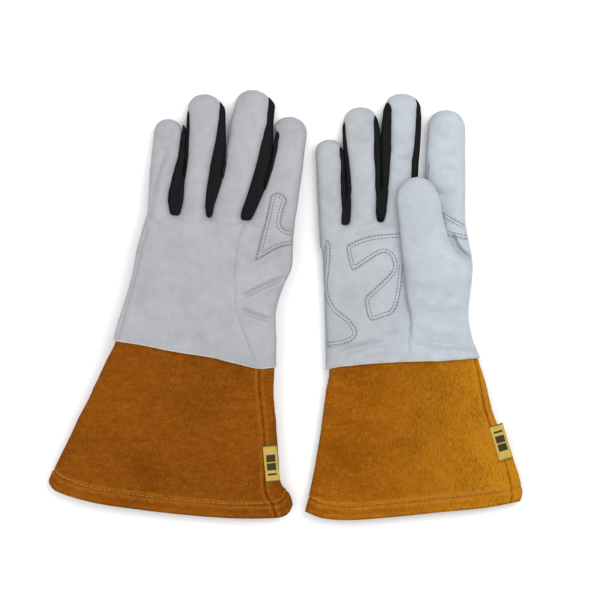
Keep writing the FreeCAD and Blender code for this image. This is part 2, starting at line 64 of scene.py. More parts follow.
VIEW_CENTRE = (12.0, 4.0)
VIEW_WIDTH = 474.0
CAMERA_HEIGHT = 2200.0
GLOVE_TOP = 18.0
SENSOR = 36.0

camera_data = bpy.data.cameras.new("camera")
camera_data.sensor_width = SENSOR
camera_data.lens = SENSOR * (CAMERA_HEIGHT - GLOVE_TOP) / VIEW_WIDTH
camera_data.clip_end = 10.0
camera = bpy.data.objects.new("camera", camera_data)
camera.location = (VIEW_CENTRE[0] * MM, VIEW_CENTRE[1] * MM, CAMERA_HEIGHT * MM)
bpy.context.scene.collection.objects.link(camera)
bpy.context.scene.camera = camera
bpy.context.scene.view_settings.view_transform = "Standard"


def add_softbox(name, place, size, watts, aim=(0, 0, 0)):
    """A large soft light that faces the gloves."""
    data = bpy.data.lights.new(name, "AREA")
    data.shape = "DISK"
    data.size = size
    data.energy = watts
    light = bpy.data.objects.new(name, data)
    light.location = place
    light.rotation_euler = (Vector(aim) - Vector(place)).to_track_quat("-Z", "Y").to_euler()
    bpy.context.scene.collection.objects.link(light)


add_softbox("key_light", (0.6, 0.5, 1.4), 1.1, 14)
add_softbox("fill_light", (-0.7, -0.2, 1.5), 1.5, 9)
world = bpy.data.worlds.new("studio")
world.use_nodes = True
world.node_tree.nodes["Background"].inputs["Color"].default_value = (1, 1, 1, 1)
world.node_tree.nodes["Background"].inputs["Strength"].default_value = 0.9
bpy.context.scene.world = world

# ---------------------------------------------------------------- finishes


class Signal:
    """A value in a material. Arithmetic on it adds Math nodes."""

    def __init__(self, finish, socket):
        self.finish, self.socket = finish, socket

    def _join(self, operation, *values):
        return self.finish.node("ShaderNodeMath", {"operation": operation}, *values)

    def __add__(self, other):
        return self._join("ADD", self, other)

    def __sub__(self, other):
        return self._join("SUBTRACT", self, other)

    def __rsub__(self, other):
        return self._join("SUBTRACT", other, self)

    def __mul__(self, other):
        return self._join("MULTIPLY", self, other)

    def __gt__(self, other):
        return self._join("GREATER_THAN", self, other)

    def size(self):
        return self._join("ABSOLUTE", self)

    def clamped(self):
        return self.finish.node("ShaderNodeClamp", {}, self)

    __radd__ = __add__
    __rmul__ = __mul__


class Finish:
    """A material under construction, with one Principled shader."""

    def __init__(self, name, roughness, **constants):
        self.material = bpy.data.materials.new(name)
        self.material.use_nodes = True
        self.tree = self.material.node_tree
        self.shader = self.tree.nodes["Principled BSDF"]
        self.shader.inputs["Roughness"].default_value = roughness
        for socket, value in constants.items():
            self.shader.inputs[socket.replace("_", " ")].default_value = value

    def node(self, kind, settings, *values, output=0, **named):
        """Adds a node, sets it up, then fills its sockets in order and by name."""
        made = self.tree.nodes.new(kind)
        for setting, value in settings.items():
            setattr(made, setting, value)
        free = [s for s in made.inputs if s.enabled]
        for socket, value in [
            *zip(free, values), *((made.inputs[n.replace("_", " ")], v) for n, v in named.items()),
        ]:
            if isinstance(value, Signal):
                self.tree.links.new(value.socket, socket)
            else:
                socket.default_value = value
        outputs = [s for s in made.outputs if s.enabled]
        return Signal(self, outputs[output])

    def places(self, scale=(1, 1, 1)):
        """Places on the object in millimetres, stretched by scale."""
        spot = self.node("ShaderNodeTexCoord", {}, output=3)
        stretched = tuple(s / MM for s in scale)
        return self.node("ShaderNodeVectorMath", {"operation": "MULTIPLY"}, spot, stretched)

    def clouds(self, places, scale, detail=3.0, roughness=0.55):
        return self.node(
            "ShaderNodeTexNoise", {}, Vector=places, Scale=scale, Detail=detail, Roughness=roughness,
        )

    def cells(self, places, scale):
        return self.node("ShaderNodeTexVoronoi", {"feature": "F1"}, Vector=places, Scale=scale)

    def blend(self, amount, first, second):
        """A colour between two, where amount is 0 for the first."""
        settings = {"data_type": "RGBA"}
        return self.node("ShaderNodeMix", settings, amount, first, second)

    def across(self, places, fade, first, second):
        """A colour that runs from first to second between two places across the glove."""
        spot = self.node("ShaderNodeSeparateXYZ", {}, places)
        return self.blend(((spot - fade[0]) * (1 / (fade[1] - fade[0]))).clamped(), first, second)

    def attribute(self, name):
        return self.node("ShaderNodeAttribute", {"attribute_name": name}, output=2)

    def paint(self, colour=None, height=None, roughness=None, depth=1.0, strength=0.6):
        """Drives the shader: base colour, roughness, and a bump whose height is in millimetres."""
        if colour is not None:
            self.tree.links.new(colour.socket, self.shader.inputs["Base Color"])
        if roughness is not None:
            self.tree.links.new(roughness.socket, self.shader.inputs["Roughness"])
        if height is not None:
            bump = self.node("ShaderNodeBump", {}, Strength=strength, Distance=depth * MM, Height=height)
            self.tree.links.new(bump.socket, self.shader.inputs["Normal"])
        return self.material


def goatskin(name, colour, deep, lit_colour=None, fade=(50.0, 130.0)):
    """Smooth pale goatskin: fine pebbled grain, small creases, soft blotches, grime in the seams.
    Where a second, lighter colour is given, the hide runs from colour to it across the glove: painted light,
    brighter towards the right where the light falls."""
    skin = Finish(name, 0.5, Specular_IOR_Level=0.4)
    flat = skin.places()
    # painted light: the hide brightens across the glove towards its lit right side
    colour = skin.across(flat, fade, colour, lit_colour) if lit_colour else colour
    grain = skin.cells(flat, 1.1)
    pores = skin.clouds(flat, 2.4, 2.0)
    creases = skin.clouds(skin.places((0.06, 0.16, 0.1)), 1.0, 5.0, 0.62)
    folds = (creases - 0.5).size() * 2.0
    blotches = skin.clouds(flat, 0.035, 3.0)
    seam = skin.attribute("seam")
    marks = skin.clouds(flat, 0.16, 4.0, 0.6)
    darkening = ((blotches - 0.4) * 1.8).clamped() * 0.4 + (marks - 0.45) * 0.5 + seam * 0.8 + (1 - grain) * 0.08
    tint = skin.blend(darkening.clamped(), colour, deep)
    height = grain * 0.22 + pores * 0.12 + folds * 1.1
    return skin.paint(tint, height, 0.44 + pores * 0.14 + darkening * 0.1, depth=0.35, strength=0.75)


def black_knit(name):
    """Black side strips: tight leather with a faint rib."""
    strip = Finish(name, 0.6, Specular_IOR_Level=0.07)
    flat = strip.places()
    grain = strip.cells(flat, 1.3)
    clouds = strip.clouds(flat, 0.12, 3.0)
    tint = strip.blend(clouds, (0.002, 0.002, 0.0025, 1), (0.008, 0.008, 0.009, 1))
    return strip.paint(tint, grain * 0.5 + clouds * 0.6, 0.5 + clouds * 0.25, depth=0.4)


def suede(name, colour, light, deep, lit_colour=None, fade=(70.0, 170.0)):
    """Split cowhide suede: mottled nap brushed in patches, darker at its seams and hem, with painted shade
    where a cuff turns over at its sides. Where a second, lighter colour is given, it brightens across the
    glove towards the right as painted light.
    """
    hide = Finish(name, 0.95, Specular_IOR_Level=0.04)
    flat = hide.places()
    # painted light: brighter towards the lit right side of the glove
    colour = hide.across(flat, fade, colour, lit_colour) if lit_colour else colour
    nap = hide.clouds(flat, 0.8, 5.0, 0.7)
    brushed = hide.clouds(hide.places((0.10, 0.22, 0.2)), 1.0, 4.0, 0.65)
    patches = hide.clouds(flat, 0.022, 5.0, 0.55)
    across = hide.clouds(hide.places((0.25, 1.5, 1.5)), 1.0, 2.0, 0.6)
    down = hide.clouds(hide.places((1.5, 0.25, 1.5)), 1.0, 2.0, 0.6)
    seam, wear = hide.attribute("seam"), hide.attribute("wear")
    lighter = ((brushed - 0.5) * 1.3 + (nap - 0.5) * 1.8 + (across - 0.5) * 1.5 + wear * 0.8 + 0.25).clamped()
    darker = (patches - 0.46) * 1.7 + (down - 0.5) * 2.0 + (nap - 0.5) * 1.6
    # the seam attribute darkens seams and hem, and on the cuffs also adds the painted shade of their folded
    # sides
    darker = (darker + seam * 1.1 - wear * 0.5 + 0.1).clamped()
    tint = hide.blend(darker, hide.blend(lighter, colour, light), deep)
    return hide.paint(tint, nap * 0.9 + (across + down) * 0.5 + brushed * 1.0, depth=0.5, strength=0.8)


def thread(name, colour, roughness=0.6):
    """Twisted sewing thread."""
    cord = Finish(name, roughness)
    twist = cord.clouds(cord.places((1, 1, 1)), 3.0, 2.0)
    deep = tuple(c * 0.5 for c in colour[:3]) + (1,)
    return cord.paint(cord.blend(twist, deep, colour), twist, depth=0.2)


# the dark marks of a label, in millimetres from its middle: half across, and along it middle and half
MARK_HALF = 3.6
BLOCK = (0.8, 6.2)
SPLIT_HALF = 0.45
THIN_BAR = (-8.6, 0.8)
# where the painted shade of the tab's folded ends begins
LABEL_FOLD_SHADOW = 13.4


def woven_label(name, colour, mark, centre, along):
    """A woven tab with a split dark block and a thin bar on it, with painted shade at its folded ends."""
    cloth = Finish(name, 0.8, Specular_IOR_Level=0.2)
    flat = cloth.places()
    across = (along[1], -along[0], 0)
    offset = tuple(-c for c in centre) + (0,)
    local = cloth.node("ShaderNodeVectorMath", {"operation": "ADD"}, flat, offset)
    up = cloth.node("ShaderNodeVectorMath", {"operation": "DOT_PRODUCT"}, local, (*along, 0), output=0)
    side = cloth.node("ShaderNodeVectorMath", {"operation": "DOT_PRODUCT"}, local, across, output=0)
    weave = cloth.node("ShaderNodeTexWave", {}, Vector=flat, Scale=0.55, Distortion=0.4)
    inside = 1 - (side.size() > MARK_HALF)
    block = 1 - ((up - BLOCK[0]).size() > BLOCK[1])
    line = 1 - ((up - THIN_BAR[0]).size() > THIN_BAR[1])
    # painted shade: both folded ends of the tab are darkened towards the mark colour
    fold = (up.size() > LABEL_FOLD_SHADOW) * 0.7
    split = 1 - ((up - BLOCK[0]).size() > SPLIT_HALF)
    print_and_shade = (inside * (block + line) - inside * split + fold).clamped()
    worn = cloth.clouds(flat, 0.35, 3.0)
    tint = cloth.blend(print_and_shade * 0.95, cloth.blend(worn * 0.5, colour, mark), mark)
    return cloth.paint(tint, weave + worn * 0.5, depth=0.25)


def floor_paper():
    paper = Finish("white_floor", 0.9, Specular_IOR_Level=0.1)
    fleck = paper.clouds(paper.places(), 0.01, 2.0)
    return paper.paint(paper.blend(fleck, (0.86, 0.86, 0.86, 1), (0.89, 0.89, 0.89, 1)))


FINISH = {
    "left_skin": goatskin("pale_goatskin_left", (0.2953, 0.3002, 0.3196, 1), (0.1479, 0.1522, 0.1696, 1)),
    # the last colour is painted light: the right glove's hide brightens towards its lit right side
    "right_skin": goatskin(
        "pale_goatskin_right", (0.3219, 0.3393, 0.3593, 1), (0.1653, 0.1783, 0.2001, 1),
        (0.3619, 0.3985, 0.4411, 1),
    ),
    "edge": goatskin("cut_leather_edge", (0.42, 0.385, 0.33, 1), (0.21, 0.175, 0.13, 1)),
    "black": black_knit("black_side_leather"),
    "left_suede": suede(
        "brown_suede_left", (0.158, 0.0419, 0.00188, 1), (0.27, 0.0901, 0.00571, 1),
        (0.0859, 0.0196, 0.00128, 1),
    ),
    # the last colour is painted light: the right cuff brightens towards its lit right side
    "right_suede": suede(
        "brown_suede_right", (0.208, 0.0578, 0.00129, 1), (0.348, 0.135, 0.0087, 1),
        (0.127, 0.0331, 0.0011, 1), (0.386, 0.164, 0.00679, 1),
    ),
    "grey_thread": thread("grey_thread", (0.31, 0.315, 0.33, 1)),
    "gold_thread": thread("gold_thread", (0.44, 0.25, 0.055, 1)),
    # dark dots painted as the shade inside the needle holes
    "hole": thread("needle_hole_shade", (0.06, 0.062, 0.068, 1), 0.9),
}

# ---------------------------------------------------------------- shapes of the two gloves


class Digit:
    """A finger: spine from inside the hand to the tip, and its whole widths there."""

    def __init__(self, root, middle, tip, widths):
        self.spine = np.array([root, middle, tip], float)
        self.widths = widths


GLOVES = {
    "left": {
        "palm_up": False,
        "digits": {
            "pinky": Digit((-98.0, 56), (-96.2, 100), (-91.8, 147.7), (22, 22, 22)),
            "ring": Digit((-74.4, 56), (-70.0, 105), (-61.7, 167.5), (25, 27, 28.5)),
            "middle": Digit((-46.4, 54), (-36.6, 105), (-22.4, 170.7), (27.5, 28.5, 29.5)),
            "index": Digit((-13.0, 48), (-4.0, 95), (6.4, 149.5), (37, 32.5, 25.5)),
        },
        "crotches": ((-87.6, 69.8), (-61.2, 72.0), (-31.8, 66.4)),
        "hand_left": (
            (-134.6, -33), (-134.3, -22), (-125.9, 5), (-120.2, 25), (-117.2, 42), (-112.8, 59), (-108.6, 72),
        ),
        "hand_right": ((-6.4, -52), (-6.6, -30), (-6.9, -5), (-0.4, 16), (5.6, 30), (6.8, 52), (8.4, 64)),
        "cuff_top": ((-132.5, -22), (-90, -30), (-45, -38), (-8.0, -44)),
        "cuff_left": ((-132.5, -22), (-135.5, -32), (-158, -80), (-183.5, -131.1), (-187.6, -141)),
        "cuff_right": (
            (-8.0, -44), (-9.4, -62), (-7.2, -90), (-5.6, -118), (-3.6, -140), (2.2, -148.4), (6.0, -158.4),
        ),
        "cuff_hem": (
            (-187.6, -141), (-180, -148.1), (-151, -156.6), (-110, -162.6), (-72, -166.8), (-40, -168.9),
            (-18, -169.0), (-4, -168.2), (3.0, -164.6), (6.0, -158.4),
        ),
        # where the pale leather of a finger stops and how far its black strip reaches, by height
        "right_strips": {
            "pinky": {
                "pale": (
                    (66, -89.0), (72, -90.6), (82, -92.1), (90, -91.2), (98, -89.2), (106, -87), (114, -84.8),
                    (122, -82.4), (130, -80.8), (138, -79.4), (142, -79),
                ),
                "black": ((98, -80.8), (106, -79.6), (114, -78.6), (130, -78.0), (138, -78.0), (142, -78.4)),
            },
            "ring": {
                "pale": (
                    (68, -61.6), (74, -62), (78, -62.5), (90, -61.4), (100, -59.8), (110, -58.3),
                    (120, -56.4), (130, -54.3), (140, -52.7), (148, -51.4), (155, -50.6), (160, -50.2),
                ),
                "black": (
                    (98, -50.4), (106, -48.8), (114, -47.4), (122, -46.8), (130, -46.6), (148, -47.0),
                    (156, -47.4), (160, -48.6),
                ),
            },
            "middle": {
                "pale": (
                    (63, -34.5), (70, -34.3), (75, -33), (82, -30.5), (92, -27.6), (102, -24.5), (114, -21.5),
                    (126, -18.5), (135, -16), (144, -13.5), (154, -12.4), (164, -11.6),
                ),
                "black": (
                    (96, -15.6), (104, -12.8), (112, -10.8), (120, -9.6), (130, -9.2), (140, -9.2),
                    (150, -8.4), (158, -7.8), (164, -9.4),
                ),
            },
        },
        "left_strips": {
            "ring": {
                "pale": (
                    (68, -84.6), (73, -82.6), (82, -80.6), (98, -79.2), (118, -77.2), (138, -76.6),
                    (158, -76.4),
                ),
                "black": ((98, -80.2), (118, -79.0), (138, -78.5), (152, -77.8), (157, -77)),
            },
            "middle": {
                "pale": (
                    (68, -59.4), (74, -57.3), (84, -54.3), (98, -50.4), (106, -48.8), (114, -47),
                    (124, -45.8), (132, -44.4), (142, -41.4),
                ),
                "black": ((98, -49.8), (106, -48.2), (124, -45.2), (142, -40.8)),
            },
            "index": {
                "pale": (
                    (62, -29.4), (68, -26.8), (75, -23.4), (82, -20.5), (96, -14.5), (104, -12), (112, -9.6),
                    (122, -7.4), (132, -5.6), (143, -2.6),
                ),
                "black": ((96, -15.8), (112, -11.4), (122, -9.8), (132, -8.4), (140, -6.0), (144, -3.8)),
            },
        },
        "gusset": (11.5, 11.8, 17.0),
        "junction": (
            (-134.5, -28.2), (-110, -32.2), (-87.6, -36.7), (-56.6, -41.6), (-38.2, -46.2), (-20.6, -50.2),
            (-5.5, -48.9),
        ),
        "label": ((-10.7, -125.2), (-0.09, 1.0)),
    },
    "right": {
        "palm_up": True,
        "digits": {
            "pinky": Digit((37.4, 46), (36.2, 88), (34.6, 131.7), (19.5, 21, 21.8)),
            "ring": Digit((61.6, 48), (60.8, 105), (59.6, 157.3), (26, 27.2, 27.6)),
            "middle": Digit((92.0, 50), (92.6, 105), (93.2, 168.3), (31.5, 31.5, 31)),
            "index": Digit((126.6, 50), (127.4, 100), (128.3, 155.1), (33, 31.5, 30)),
        },
        "crotches": ((46.8, 61.6), (75.7, 68.9), (109.5, 68.0)),
        "hand_left": ((32.6, -54), (31.9, -20), (31.0, 9), (29.7, 37), (28.2, 52), (27.4, 62)),
        "hand_right": (
            (156.6, -46), (150.4, -31), (145.6, -15), (146.4, 4), (148.2, 20), (148.8, 34), (144.6, 58),
            (143.0, 71),
        ),
        "cuff_top": ((34.5, -40), (75, -38), (115, -36), (152.0, -38)),
        "cuff_left": ((34.5, -40), (34.9, -56), (32, -75.3), (25.9, -116), (20.5, -146), (16.6, -164)),
        "cuff_right": (
            (152.0, -38), (156.2, -52), (164.6, -84.8), (181, -122.8), (187.4, -146), (187.0, -155.5),
        ),
        "cuff_hem": (
            (16.6, -164), (30, -168.8), (51.7, -170.3), (85.7, -167.8), (126.6, -163.7), (160.5, -160.3),
            (187.0, -155.5),
        ),
        "right_strips": {
            "pinky": {
                "pale": ((59, 46.4), (65, 45.2), (75, 46), (89, 45.3), (114, 45.2), (120, 44.4), (127, 42)),
                "black": ((84, 49.0), (100, 48.8), (114, 47.8), (120, 47.2), (126, 45.6), (128, 43.5)),
            },
            "ring": {
                "pale": (
                    (66, 73.6), (73, 72.4), (80, 72.8), (96, 72.5), (115, 71.6), (140, 71.6), (152, 70.5),
                ),
                "black": ((96, 77.2), (115, 76.6), (130, 76.2), (139, 75.6), (149, 73.6), (153, 72)),
            },
            "middle": {
                "pale": (
                    (64, 105.6), (72, 103), (90, 101.4), (103.5, 101.3), (115, 102.1), (127, 103.6),
                    (143, 105.0), (152, 105.4), (163, 105),
                ),
                "black": (
                    (96, 105.6), (103, 105.7), (118, 106.8), (133, 107.9), (149, 108.4), (158, 107.6),
                    (163, 106),
                ),
            },
        },
        "left_strips": {
            "ring": {
                "pale": (
                    (59, 49.4), (65, 51.2), (72, 51.8), (83, 52), (99, 51.5), (115, 49.9), (126, 48.4),
                    (144.6, 46.8), (150, 46.2),
                ),
                "black": (
                    (84, 48.6), (100, 48.4), (114, 47.2), (122, 46.4), (130, 46), (141, 45.6), (147, 46.2),
                ),
            },
            "middle": {
                "pale": (
                    (66, 78.6), (75, 80.4), (86, 81.1), (107, 82.6), (130, 83.6), (152, 83.9), (164, 84.2),
                ),
                "black": (
                    (96, 76.8), (115, 76.2), (130, 76.0), (139, 76.5), (154, 77.9), (160, 80), (164, 82.5),
                ),
            },
            "index": {
                "pale": (
                    (64, 112.4), (72, 111.5), (90, 111), (100, 110.8), (115, 112), (137, 113.2), (150, 114.5),
                ),
                "black": ((96, 113.6), (115, 114.6), (137, 116), (146, 117)),
            },
        },
        "gusset": (2.6, 6.0, 8.0),
        "junction": ((31.0, -51.4), (45, -48.8), (65.3, -46.8), (91.8, -45.2), (125, -44.2), (156.5, -41.9)),
        "label": ((171.2, -108.6), (0.29, -0.957)),
    },
}

# thickness of the tubes, as the frame has them
HAND_DEPTH = (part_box("right_palm_panel")[1][2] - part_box("right_back_panel")[0][2]) / MM
FINGER_DEPTH = (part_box("right_ring_front")[1][2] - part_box("right_ring_back")[0][2]) / MM
CUFF_DEPTH = (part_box("right_cuff_panel")[1][2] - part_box("right_cuff_panel")[0][2]) / MM
LEFT_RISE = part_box("left_back_panel")[1][2] / MM - HAND_DEPTH
MIDDLE = FINGER_DEPTH / 2


def curve_through(points, count):
    """Evenly spaced points on a smooth curve through the given plan points."""
    p = np.array(points, float)
    ends = np.vstack([2 * p[0] - p[1], p, 2 * p[-1] - p[-2]])
    run = []
    for a, b, c, d in zip(ends, ends[1:], ends[2:], ends[3:]):
        t = np.linspace(0, 1, 16, endpoint=False)[:, None]
        bend, turn = 2 * a - 5 * b + 4 * c - d, 3 * b - a - 3 * c + d
        run.append(0.5 * (2 * b + (c - a) * t + bend * t**2 + turn * t**3))
    run = np.vstack([*run, p[-1:]])
    steps = np.concatenate([[0], np.cumsum(np.linalg.norm(np.diff(run, axis=0), axis=1))])
    at = np.linspace(0, steps[-1], count)
    return np.column_stack([np.interp(at, steps, run[:, k]) for k in range(run.shape[1])])


def bell(gap, width):
    """1 where gap is nothing, falling off smoothly over width."""
    return np.exp(-((gap / width) ** 2))


def ease(low, high, value):
    t = np.clip((value - low) / (high - low), 0, 1)
    return t * t * (3 - 2 * t)


def ring_shape(count, squareness):
    """A closed superellipse: across and up, each from -1 to 1."""
    angle = np.linspace(0, 2 * math.pi, count, endpoint=False)
    c, s = np.cos(angle), np.sin(angle)
    power = 2 / squareness
    return np.sign(c) * np.abs(c) ** power, np.sign(s) * np.abs(s) ** power


def grid_faces(rows, columns, closed):
    """Quads of a grid whose vertices are listed row by row."""
    last = columns if closed else columns - 1
    starts = [(i * columns, j, (j + 1) % columns) for i in range(rows - 1) for j in range(last)]
    return [(row + a, row + b, row + columns + b, row + columns + a) for row, a, b in starts]


def tube(lefts, rights, lows, highs, squareness=2.6, count=48):
    """A closed flattened tube lofted through rows of left and right edge points."""
    rings = []
    for left, right, low, high, power in zip(
        lefts, rights, lows, highs, np.broadcast_to(squareness, len(lefts)),
    ):
        across, up = ring_shape(count, power)
        centre, half = (left + right) / 2, (right - left) / 2
        plan = centre + across[:, None] * half
        rings.append(np.column_stack([plan, (low + high) / 2 + up * (high - low) / 2]))
    points = np.vstack(rings)
    faces = grid_faces(len(rings), count, True)
    for first, flip in ((0, False), (len(rings) - 1, True)):
        middle = len(points)
        points = np.vstack([points, rings[first].mean(axis=0)])
        base = first * count
        for j in range(count):
            corner = (base + j, base + (j + 1) % count)
            faces.append((middle, *(corner if flip else corner[::-1])))
    return points, faces


def spine_frame(digit, count):
    """Points along a finger, the direction across it, and the share of its length."""
    line = curve_through(digit.spine, count)
    run = np.gradient(line, axis=0)
    run /= np.linalg.norm(run, axis=1)[:, None]
    across = np.column_stack([run[:, 1], -run[:, 0]])
    return line, across, np.linspace(0, 1, count)


def finger_edges(shape, name, count=80):
    """Left and right edges of the pale skin of a finger, rounded off at the tip."""
    digit = shape["digits"][name]
    line, across, share = spine_frame(digit, count)
    length = np.linalg.norm(np.diff(line, axis=0), axis=1).sum()
    widths = np.interp(share, (0, 0.5, 1), digit.widths)
    tip = digit.widths[2] * 0.5
    into_tip = np.clip((share * length - (length - tip)) / tip, 0, 1)
    rounding = np.sqrt(np.clip(1 - into_tip**2.2, 0.0, 1))
    edges = []
    for hand, strips in ((-1, "left_strips"), (1, "right_strips")):
        halves = widths / 2 * rounding
        if name in shape[strips]:
            heights, places = np.array(shape[strips][name]["pale"], float).T
            at = line[:, 1] + hand * across[:, 1] * halves
            inner = (np.interp(at, heights, places) - line[:, 0]) * hand / across[:, 0]
            inner += (halves - inner) * ease(heights[-1] - 9, heights[-1], at)
            halves = np.minimum(halves, inner)
        edges.append(line + hand * across * halves[:, None])
    return edges[0], edges[1], rounding, share


# ---------------------------------------------------------------- how the leather lies

# The left hand droops from its knuckles to its finger tips, and from its wrist to its hem.
KNUCKLES = 66
TIP_ON_FLOOR = 8
WRIST_RAISED = 10


class Lie:
    """How one glove lies: its rise above the floor."""

    def __init__(self, side):
        self.side = side
        self.shape = GLOVES[side]
        tips = sorted((tuple(d.spine[2]) for d in self.shape["digits"].values()))
        self.tip_x, self.tip_y = (np.array(v) for v in zip(*tips))
        hem = np.array(self.shape["cuff_hem"])
        order = np.argsort(hem[:, 0])
        self.hem_x, self.hem_y = hem[order, 0], hem[order, 1]
        wrist = np.array(self.shape["junction"])
        self.wrist_x, self.wrist_y = wrist[:, 0], wrist[:, 1]

    def rise(self, x, y):
        """The left hand lies on its thumb; its finger tips and its hem droop to the floor."""
        if self.side == "right":
            return np.zeros_like(x)
        tip = np.interp(x, self.tip_x, self.tip_y) - TIP_ON_FLOOR
        hem = np.interp(x, self.hem_x, self.hem_y)
        wrist = np.interp(x, self.wrist_x, self.wrist_y)
        to_tip = np.clip((tip - y) / (tip - KNUCKLES), 0, 1)
        to_hem = np.clip((y - hem) / (wrist + WRIST_RAISED - hem), 0, 1)
        return LEFT_RISE * np.minimum(to_tip, to_hem)

    def settled(self, points):
        points = points.copy()
        points[:, 2] += self.rise(points[:, 0], points[:, 1])
        return points


def distance_to(line, points):
    """Distance in plan from points to a polyline, and how far along it the nearest spot is."""
    p = np.array(line, float)
    steps = np.concatenate([[0], np.cumsum(np.linalg.norm(np.diff(p, axis=0), axis=1))])
    best = np.full(len(points), 1e9)
    along = np.zeros(len(points))
    for number, (a, b) in enumerate(zip(p, p[1:])):
        run = b - a
        t = np.clip(((points[:, :2] - a) @ run) / (run @ run), 0, 1)
        gap = np.linalg.norm(points[:, :2] - a - t[:, None] * run, axis=1)
        closer = gap < best
        best[closer] = gap[closer]
        share = (steps[number] + t * (steps[number + 1] - steps[number])) / steps[-1]
        along[closer] = share[closer]
    return best, along


def crease(points, upper, line, depth, width, ends=0.25):
    """Height change of a soft crease (negative depth) or ridge along a plan line."""
    smooth = curve_through(line, 24)
    gap, along = distance_to(smooth, points)
    fade = ease(0, ends, along) * ease(0, ends, 1 - along) if ends else 1.0
    valley = bell(gap, width)
    shoulders = 0.35 * bell(gap - 2.3 * width, 1.2 * width)
    return depth * (valley - shoulders) * fade * upper


def unevenness(points, scale, amount, seed):
    """Smooth bumps and hollows, the same on every run."""
    return amount * np.array([
        noise.noise(Vector((p[0] / scale, p[1] / scale, p[2] / scale + seed))) for p in points
    ])


# Creases of the upper face: plan line, depth and width. Negative depths are valleys.
UPPER_FOLDS = {
    "left": [
        ([(-35.4, 5.4), (-18, 14), (2.4, 22.6)], -2.1, 1.6, 0.2),
        ([(-37.4, -1.4), (-24, -8), (-6, -13)], -1.8, 1.6, 0.25),
        ([(-30, 20), (-16, 30), (-2, 40)], -0.8, 3.0, 0.3),
        ([(-125, -6), (-100, -14), (-76, -14)], -0.9, 4.5, 0.4),
        ([(-110, -22), (-84, -26), (-60, -30)], -0.7, 3.5, 0.4),
        ([(-72, -12), (-58, -28), (-54, -38)], 0.8, 4.5, 0.4),
        ([(-93, 126), (-98, 112), (-102, 98), (-105, 82), (-108, 64)], -1.6, 2.4, 0.25),
        ([(-96, 66), (-88, 56), (-78, 50)], -0.8, 4.0, 0.4),
        ([(-70, 66), (-60, 54), (-48, 52)], -0.7, 4.0, 0.4),
        ([(-50, 96), (-40, 92), (-30, 94)], -0.7, 3.0, 0.35),
        ([(-82, 104), (-72, 101), (-60, 104)], -0.6, 3.0, 0.35),
        ([(-104, 104), (-96, 101), (-87, 103)], -0.5, 2.6, 0.35),
        ([(-42, 130), (-32, 127), (-20, 131)], -0.5, 3.0, 0.35),
        ([(-14, 112), (-4, 106), (8, 108)], -0.8, 3.0, 0.35),
        ([(-116, 30), (-104, 22), (-92, 24)], -0.6, 5.0, 0.4),
    ],
    "right": [
        ([(96, -14), (118, -24), (144, -26)], -1.6, 3.0, 0.3),
        ([(100, -30), (124, -36), (150, -33)], -1.1, 2.6, 0.3),
        ([(90, -29), (72, -31), (50, -36), (38, -42)], -1.7, 2.6, 0.3),
        ([(97, -25), (84, -24), (70, -27)], -1.0, 2.4, 0.35),
        ([(62, -4), (52, -14), (38, -20)], -0.9, 4.0, 0.35),
        ([(50, 56), (64, 60), (84, 62)], -1.2, 3.2, 0.3),
        ([(50, 24), (44, 6), (50, -6)], -0.9, 3.6, 0.35),
        ([(86, 30), (80, 14), (84, -4)], -1.0, 4.0, 0.35),
        ([(30, 84), (36, 80), (44, 84)], -0.8, 2.6, 0.3),
        ([(50, 96), (61, 92), (73, 96)], -0.8, 2.8, 0.35),
        ([(80, 118), (93, 114), (106, 118)], -0.7, 3.0, 0.35),
        ([(114, 92), (128, 86), (141, 92)], -0.9, 3.0, 0.35),
        ([(114, 122), (128, 118), (141, 121)], -0.6, 3.0, 0.35),
        ([(50, 130), (60, 127), (72, 130)], -0.6, 3.0, 0.35),
        ([(132, 30), (140, 12), (142, -8)], -1.3, 3.4, 0.3),
        ([(131.5, 57), (136.4, 46.5), (142, 40), (149, 35.5)], -2.4, 1.5, 0.1),
        ([(134.6, 56), (139, 48.5), (144, 43.4), (149, 40)], 1.2, 1.5, 0.2),
        ([(66, -30), (84, -36), (104, -38)], 0.9, 4.0, 0.4),
    ],
}

# Sewn seams of the upper face: sharp lines that pull the leather in.
BACK_SEAM = [
    (-32.0, 64.0), (-36.2, 50.8), (-38.4, 36.7), (-39.7, 22.6), (-38.9, 4.3), (-36.2, -11.3), (-31.1, -25.3),
    (-25.5, -39.5), (-22.0, -48.0),
]
WRAP_SEAM = [(-11.4, 86.0), (-14.2, 70.5), (-17.1, 59.3), (-20.6, 45.1), (-23.4, 35.2)]
WRAP_LOWER = [(-23.4, 35.2), (-15.6, 38.8), (-8.6, 43.1), (-1.5, 45.8), (6.2, 47.2)]
WRAP_UPPER = [(-11.4, 86.0), (-3.8, 88.2), (2.0, 83.3), (-0.6, 74.0), (-3.0, 63.0), (7.2, 59.3)]
ULNAR_SEAM = [(-131.5, -28.0), (-122.8, 4.0), (-116.4, 27.0), (-112.8, 44.0), (-107.5, 60.0)]
UPPER_SEAMS = {
    "left": [BACK_SEAM, WRAP_SEAM, WRAP_LOWER, WRAP_UPPER, ULNAR_SEAM],
    "right": [[(99.0, -18), (98.6, -28), (98.2, -38)]],
}

# ---------------------------------------------------------------- making pieces


def finish_piece(name, mesh, finish, body, replaces=(), blend=None):
    """Links a mesh, gives it a finish, attaches it to its body or, when it has a blend, bakes its placing in,
    and hides the parts it stands for.
    """
    piece = bpy.data.objects.new(name, mesh)
    bpy.context.scene.collection.objects.link(piece)
    mesh.materials.append(FINISH[finish] if isinstance(finish, str) else finish)
    if blend:
        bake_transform(piece)
    else:
        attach(piece, body)
    if replaces:
        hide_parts(*replaces)
    return piece


